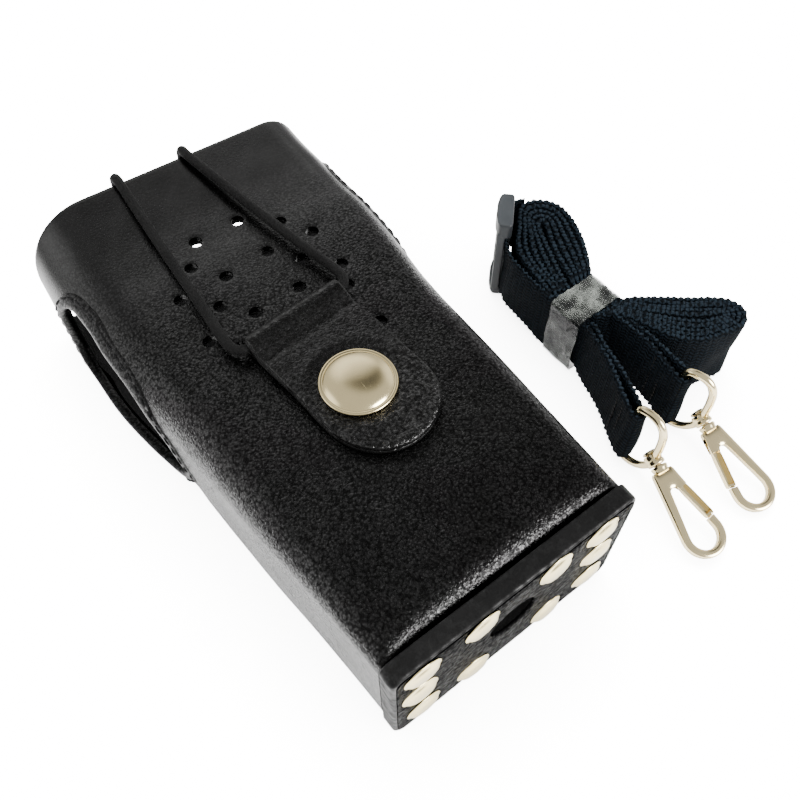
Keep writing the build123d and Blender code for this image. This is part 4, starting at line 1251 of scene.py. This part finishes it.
def gate_ring(half, top, inside):
    """Section (b, z) of the gate's channel."""
    return [(-half, -top), (-half + 0.06, -top - 0.05), (half - 0.06, -top - 0.05), (half, -top),
            (half, top), (half - 0.1, top + 0.08), (half - 0.22, top + 0.05),
            (half - 0.27, inside), (-half + 0.27, inside), (-half + 0.22, top + 0.05),
            (-half + 0.1, top + 0.08), (-half, top)]


def build_hook(k, eye_way, swivel, tip, gate_side):
    swivel, tip = np.array(swivel), np.array(tip)
    along = unit(tip - swivel)
    normal = unit(np.array([0, 0, 1.0]) - along * along[2])
    across = np.cross(normal, along)
    side = 1 if (across[0] > 0) == (gate_side > 0) else -1
    axes = np.stack([along, across, normal])

    def to_world(local):
        return swivel + np.asarray(local, float) @ axes

    # eye: one bent wire, its bar inside the web's end
    bar = BARS[k]
    wire = catmull([(bar[0] + a * eye_way[0], bar[1] + a * eye_way[1], z) for a, z in EYE],
                   0.5, loop=True)
    eye = tube(wire, 0.9, 20, lambda s, a: 1 + 0.03 * np.cos(2 * a), loop=True)
    piece("eye_wire_%d" % k, join([eye, lathe(BARREL, swivel, along, 48)]), HOOK_NICKEL,
          "eye_%d" % k, "hook_eye_%d" % k, sharp=55)

    # gate coordinates: a along the gate from its pivot, b across it
    bow = make_object("hook_bow_%d" % k, bow_solid(to_world), HOOK_NICKEL)
    pivot = np.array([6.0, 1.75 * side])
    end = np.array([BOW_END - 2.6, 4.0 * side])
    gate_along = unit(end - pivot)
    gate_across = np.array([-gate_along[1], gate_along[0]])
    length = float(np.linalg.norm(end - pivot))

    def gate_point(a, b, z):
        return to_world((*(pivot + gate_along * a + gate_across * b), z))

    # the gap the gate closes, and the slot its pivot sits in
    for a0, a1, half_b, half_z in ((1.9, length + 0.12, 1.7, 2), (-1.5, 2.5, 1.5, 0.58)):
        corners = [gate_point(a, b, z) for z in (-half_z, half_z)
                   for a, b in rect(a0, a1, -half_b, half_b)]
        cutter = make_object("c1", (np.array(corners), BOX_FACES), smooth=False)
        cut(bow, cutter)
        remove(cutter)
    shade(bow.data, 35)
    attach(bow, "hook_%d" % k, "hook_body_%d" % k)
    piece("hook_neck_%d" % k, lathe(NECK, swivel, along, 40), HOOK_NICKEL, "hook_%d" % k,
          sharp=50)

    # gate: folded channel; (a, half width, wall top, channel floor)
    stations = [(-0.9, 0.45, 0.22, 0.2), (-0.7, 0.8, 0.36, 0.3), (0.0, 0.95, 0.42, 0.34),
                (1.4, 0.95, 0.44, 0.30), (2.0, 0.98, 0.50, -0.2), (3.0, 0.98, 0.62, -0.34),
                (4.0, 0.98, 0.66, -0.36), (8.0, 0.98, 0.66, -0.36),
                (length - 1.5, 0.98, 0.66, -0.36), (length - 1.1, 0.98, 0.66, -0.2),
                (length - 0.8, 0.98, 0.64, 0.5), (length - 0.3, 0.92, 0.6, 0.55),
                (length - 0.02, 0.7, 0.45, 0.4)]
    rows = [np.array([gate_point(a, b, z) for b, z in gate_ring(*sizes)])
            for a, *sizes in stations]
    piece("gate_channel_%d" % k, loft(rows, caps=True), HOOK_NICKEL, "gate_%d" % k,
          "hook_gate_%d" % k, sharp=30)


# ---------------------------------------------------------------- slider
SLIDER_END = [(-5.5, -1.5), (-4.4, -2.15), (-2.0, -2.6), (2.0, -2.6), (4.4, -2.15), (5.5, -1.5),
              (5.5, 1.1), (4.8, 1.5), (-4.8, 1.5), (-5.5, 1.1)]


def build_slider():
    """Two end frames joined by three bars."""
    parts = [soft_body(SLIDER_END, 20.1, 24.55, on_slider, edge=0.45, step=0.3, sigma=0.35,
                       wobble=0.03, mid=6),
             soft_body(SLIDER_END, 0.15, 2.3, on_slider, edge=0.35, step=0.3, sigma=0.35,
                       wobble=0.03, mid=4)]
    for bar in ((-5.45, -3.5, -2.0, 0.02), (3.5, 5.45, -2.0, 0.02), (-1.2, 1.2, 0.85, 1.45)):
        parts.append(soft_body(rect(*bar), 1.2, 21.2, on_slider, edge=0.2, step=0.2, sigma=0.18,
                               mid=10, wobble=0.02))
    piece("slider_frame", join(parts), PLASTIC, "slider", "strap_slider",
          sharp=50)


# ---------------------------------------------------------------- leather on the case's back
PANEL = mirrored([(20.5, 8.5), (22.5, 40), (24.5, 70), (27.5, 100), (28.0, 126)])
# side views (y, z)
LOOP = [(30, 2.55), (30, 1.1), (39.5, 1.1), (42, 0.1), (80, 0.1), (82.5, 1.1), (92, 1.1),
        (92, 2.55), (82.9, 2.55), (80.4, 1.62), (41.6, 1.62), (39.1, 2.55)]
KEEPER = [(102, 1.8), (106.0, 1.8), (107.6, 0.12), (112.4, 0.12), (114.0, 1.8), (118, 1.8),
          (118, 2.55), (110.9, 2.55), (110.9, 0.88), (109.1, 0.88), (109.1, 2.55), (102, 2.55)]
KEEPER_X = 22.0
PATCH = rect(-13.6, 11.2, 108.0, 121.4)
DOWN = (0, 0, -1.0)


def under_parts(x, y):
    """Whether a keeper or the anchor patch covers the panel here."""
    return ((abs(abs(x) - KEEPER_X) < 4.8 and 101.2 < y < 118.8)
            or (-14.4 < x < 12.0 and 107.2 < y < 122.2))


def near_rings(x, y):
    return abs(abs(x) - KEEPER_X) < 9.0 and 101.0 < y < 123.4


def panel_seam():
    q = soften(PANEL, 0.5, 0.8)
    stitches = []
    for here, after in stitch_marks(q - outward_normals(q) * 2.2, 3.1):
        if under_parts(*here):
            continue
        # the D-rings lie close over the seam, so the thread is pulled in flat there
        z, radius = (2.66 + 0.14, 0.08) if near_rings(*here) else (2.66, 0.2)
        stitches.append(stitch((*here, z), (*(after - here), 0), DOWN, 2.2, radius))
    return stitches


def loop_seams():
    stitches = []
    for x in (-15.2, 15.2):
        for y in np.arange(31.6, 91.0, 3.1):
            if 42.5 < y < 79.5:
                stitches.append(stitch((x, y, 0.14), (0, 1, 0), DOWN, 2.2, 0.12))
            elif y < 39.2 or y > 82.8:
                stitches.append(stitch((x, y, 1.14), (0, 1, 0), DOWN, 2.2, 0.2))
    return stitches


def patch_seam():
    q = soften(PATCH, 0.5, 0.8)
    return [stitch((*here, 0.49), (*(after - here), 0), DOWN, 2.2, 0.2)
            for here, after in stitch_marks(q - outward_normals(q) * 1.5, 2.9)]


def build_back():
    def leather_piece(name, solid, replaces):
        piece(name, solid, BACK_LEATHER, "case", replaces, sharp=60)

    leather_piece("back_panel_leather", soft_body(PANEL, 2.62, 3.98, on_xy, edge=0.45, step=0.7,
                  sigma=0.8, wobble=0.05, mid=3), "back_panel")
    leather_piece("belt_loop_leather", soft_body(LOOP, -17.0, 17.0, on_yz, edge=0.5, step=0.3,
                  sigma=0.32, wobble=0.05, mid=46, seed=1.0), "belt_loop")
    for side, name in ((-1, "left"), (1, "right")):
        x = side * KEEPER_X
        keeper = soft_body(KEEPER, x - 4.0, x + 4.0, on_yz, edge=0.22, step=0.16, sigma=0.13,
                           wobble=0.02, mid=16, seed=side * 1.7)
        leather_piece("ring_keeper_" + name + "_leather", keeper, "ring_keeper_" + name)
    # the anchor patch, with three pads above it that leave channels for the cord
    parts = [soft_body(PATCH, 0.45, 1.27, on_xy, edge=0.3, step=0.4, sigma=0.9, wobble=0.02,
                       mid=3)]
    for x0, x1 in ((-13.5, -11.2), (-8.0, 5.6), (8.8, 11.1)):
        parts.append(soft_body(rect(x0, x1, 108.1, 121.3), 1.1, 2.55, on_xy, edge=0.15, step=0.3,
                               sigma=0.3, mid=2))
    leather_piece("cord_anchor_leather", join(parts), "cord_anchor_patch")
    piece("back_stitches", join(panel_seam() + loop_seams() + patch_seam()), THREAD, "case")


# ---------------------------------------------------------------- CAD pieces that stay
# (node, material, bevel width in mm)
DRESSED = [("base_pad", BOARD, 0.15), ("back_stiffener", BOARD, 0.15),
           ("base_rivet_posts", RIVET_NICKEL, None), ("snap_stud", RIVET_NICKEL, None),
           ("snap_stud_post", RIVET_NICKEL, None), ("snap_socket", RIVET_NICKEL, 0.1),
           ("belt_loop_rivets", RIVET_NICKEL, 0.12), ("ring_keeper_rivets", RIVET_NICKEL, 0.12),
           ("cord_anchor_rivets", RIVET_NICKEL, 0.12), ("d_ring_left", HOOK_NICKEL, None),
           ("d_ring_right", HOOK_NICKEL, None), ("hook_gate_pin_1", HOOK_NICKEL, None),
           ("hook_gate_pin_2", HOOK_NICKEL, None)]


def dress(node, material, bevel):
    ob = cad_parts[node]
    ob.data.materials.clear()
    ob.data.materials.append(material)
    shade(ob.data, 35)
    if bevel:
        modifier = ob.modifiers.new("soft_edges", "BEVEL")
        modifier.width = bevel * MM
        modifier.segments = 3
        modifier.limit_method = "ANGLE"
        modifier.angle_limit = math.radians(35)
        modifier.harden_normals = False


# ---------------------------------------------------------------- floor, light, camera
# brightness of the surrounding tent, as each kind of ray meets it
TENT_DIFFUSE, TENT_SEEN, TENT_CAMERA = 12.5, 0.66, 24.0
# (direction, inner and outer half angle in degrees, brightness added)
PANELS = [((0.41, 0.375, 0.83), 6, 31, -0.55), ((0.34, 0.76, 0.55), 4, 32, 0.85),
          ((-0.82, 0.42, 0.34), 8, 30, 1.3), ((0.33, -0.84, 0.38), 9, 22, 24.0),
          ((0.95, 0.1, 0.25), 8, 30, 0.5)]


def floor_paper(name):
    """Glowing white paper to the camera, dim paper to every other ray."""
    m = Material(name)
    white = m.mix(m.noise(scale=6), (0.93, 0.93, 0.93), (0.95, 0.95, 0.95))
    m.surface(color=white, rough=0.8, spec=0.05)
    # painted shadow: the dim paper is darkest round the product, standing in for its shade on the
    # floor; distances in metres
    position = m.node("NewGeometry").outputs["Position"]
    offset = m.vector("SUBTRACT", {0: position, 1: (0.015, 0.045, 0.0)})
    near = m.ramp(m.vector("LENGTH", {0: offset}, "Value"), span=(0.12, 0.21), to=(1.0, 0.0))
    painted_shade_grey = m.mix(near, (0.05, 0.05, 0.05), (0.30, 0.30, 0.30))
    dim = m.node("BsdfDiffuse").outputs[0]
    m.feed(dim.node.inputs["Color"], painted_shade_grey)
    glow = m.node("Emission", {"Strength": 5.0}).outputs[0]
    bright = m.node("AddShader", {0: m.principled.outputs[0], 1: glow}).outputs[0]
    to_camera = m.node("LightPath").outputs["Is Camera Ray"]
    both = m.node("MixShader", {0: to_camera, 1: dim, 2: bright}).outputs[0]
    m.feed(m.tree.nodes["Material Output"].inputs["Surface"], both)
    return m.material


def build_floor():
    bpy.ops.mesh.primitive_plane_add(size=3.0, location=(0, 0, -0.0004))
    floor = bpy.context.object
    floor.name = "floor"
    floor.data.materials.append(floor_paper("floor_paper"))


def build_world():
    """A white tent, with a few panels that show as reflections."""
    world = bpy.data.worlds.new("studio")
    bpy.context.scene.world = world
    world.use_nodes = True
    w = Nodes(world.node_tree)
    way = w.vector("NORMALIZE", {0: w.node("TexCoord").outputs["Generated"]})
    total = None
    for direction, inner, outer, brightness in PANELS:
        facing = w.vector("DOT_PRODUCT", {0: way, 1: Vector(direction).normalized()}, "Value")
        span = (math.cos(math.radians(outer)), math.cos(math.radians(inner)))
        glow = w.ramp(facing, span=span, to=(0.0, brightness), interpolation="SMOOTHSTEP")
        total = glow if total is None else w.add(total, glow)
    total = w.add(total, TENT_SEEN)
    path = w.node("LightPath").outputs
    diffuse = path["Is Diffuse Ray"]
    strength = w.add(w.mul(total, w.sub(1.0, diffuse)), w.mul(diffuse, TENT_DIFFUSE))
    strength = w.add(strength, w.mul(path["Is Camera Ray"], TENT_CAMERA))
    background = w.tree.nodes["Background"]
    w.feed(background.inputs["Strength"], strength)
    w.feed(background.inputs["Color"], (1.0, 0.995, 0.985))


def build_key():
    place, target = Vector((0.30, 0.42, 0.95)), Vector((0.02, 0.05, 0))
    light = bpy.data.lights.new("key", "AREA")
    light.shape = "RECTANGLE"
    light.size = light.size_y = 0.6
    light.energy = 30.0
    key = bpy.data.objects.new("key", light)
    bpy.context.scene.collection.objects.link(key)
    key.location = place
    key.rotation_euler = (target - place).to_track_quat("-Z", "Y").to_euler()
    key.visible_glossy = False


def build_camera():
    lens = bpy.data.cameras.new("camera")
    lens.sensor_width = 36
    lens.lens = 37.99
    lens.clip_start = 0.005
    camera = bpy.data.objects.new("camera", lens)
    bpy.context.scene.collection.objects.link(camera)
    forward = Vector((0.32733, 0.43647, -0.83806)).normalized()
    right = Vector((0.79372, -0.60825, -0.00678)).normalized()
    up = right.cross(forward).normalized()
    right = forward.cross(up).normalized()
    matrix = Matrix((right, up, -forward)).transposed().to_4x4()
    matrix.translation = Vector((-0.046305, -0.029933, 0.167358))
    camera.matrix_world = matrix
    bpy.context.scene.camera = camera


build_shell()
build_window_trim(-1, "left")
build_window_trim(1, "right")
build_base()
build_tab()
build_cord()
build_webbing()
build_band()
for number, hook in HOOKS.items():
    build_hook(number, *hook)
build_slider()
build_back()
for entry in DRESSED:
    dress(*entry)
build_floor()
build_world()
build_key()
build_camera()
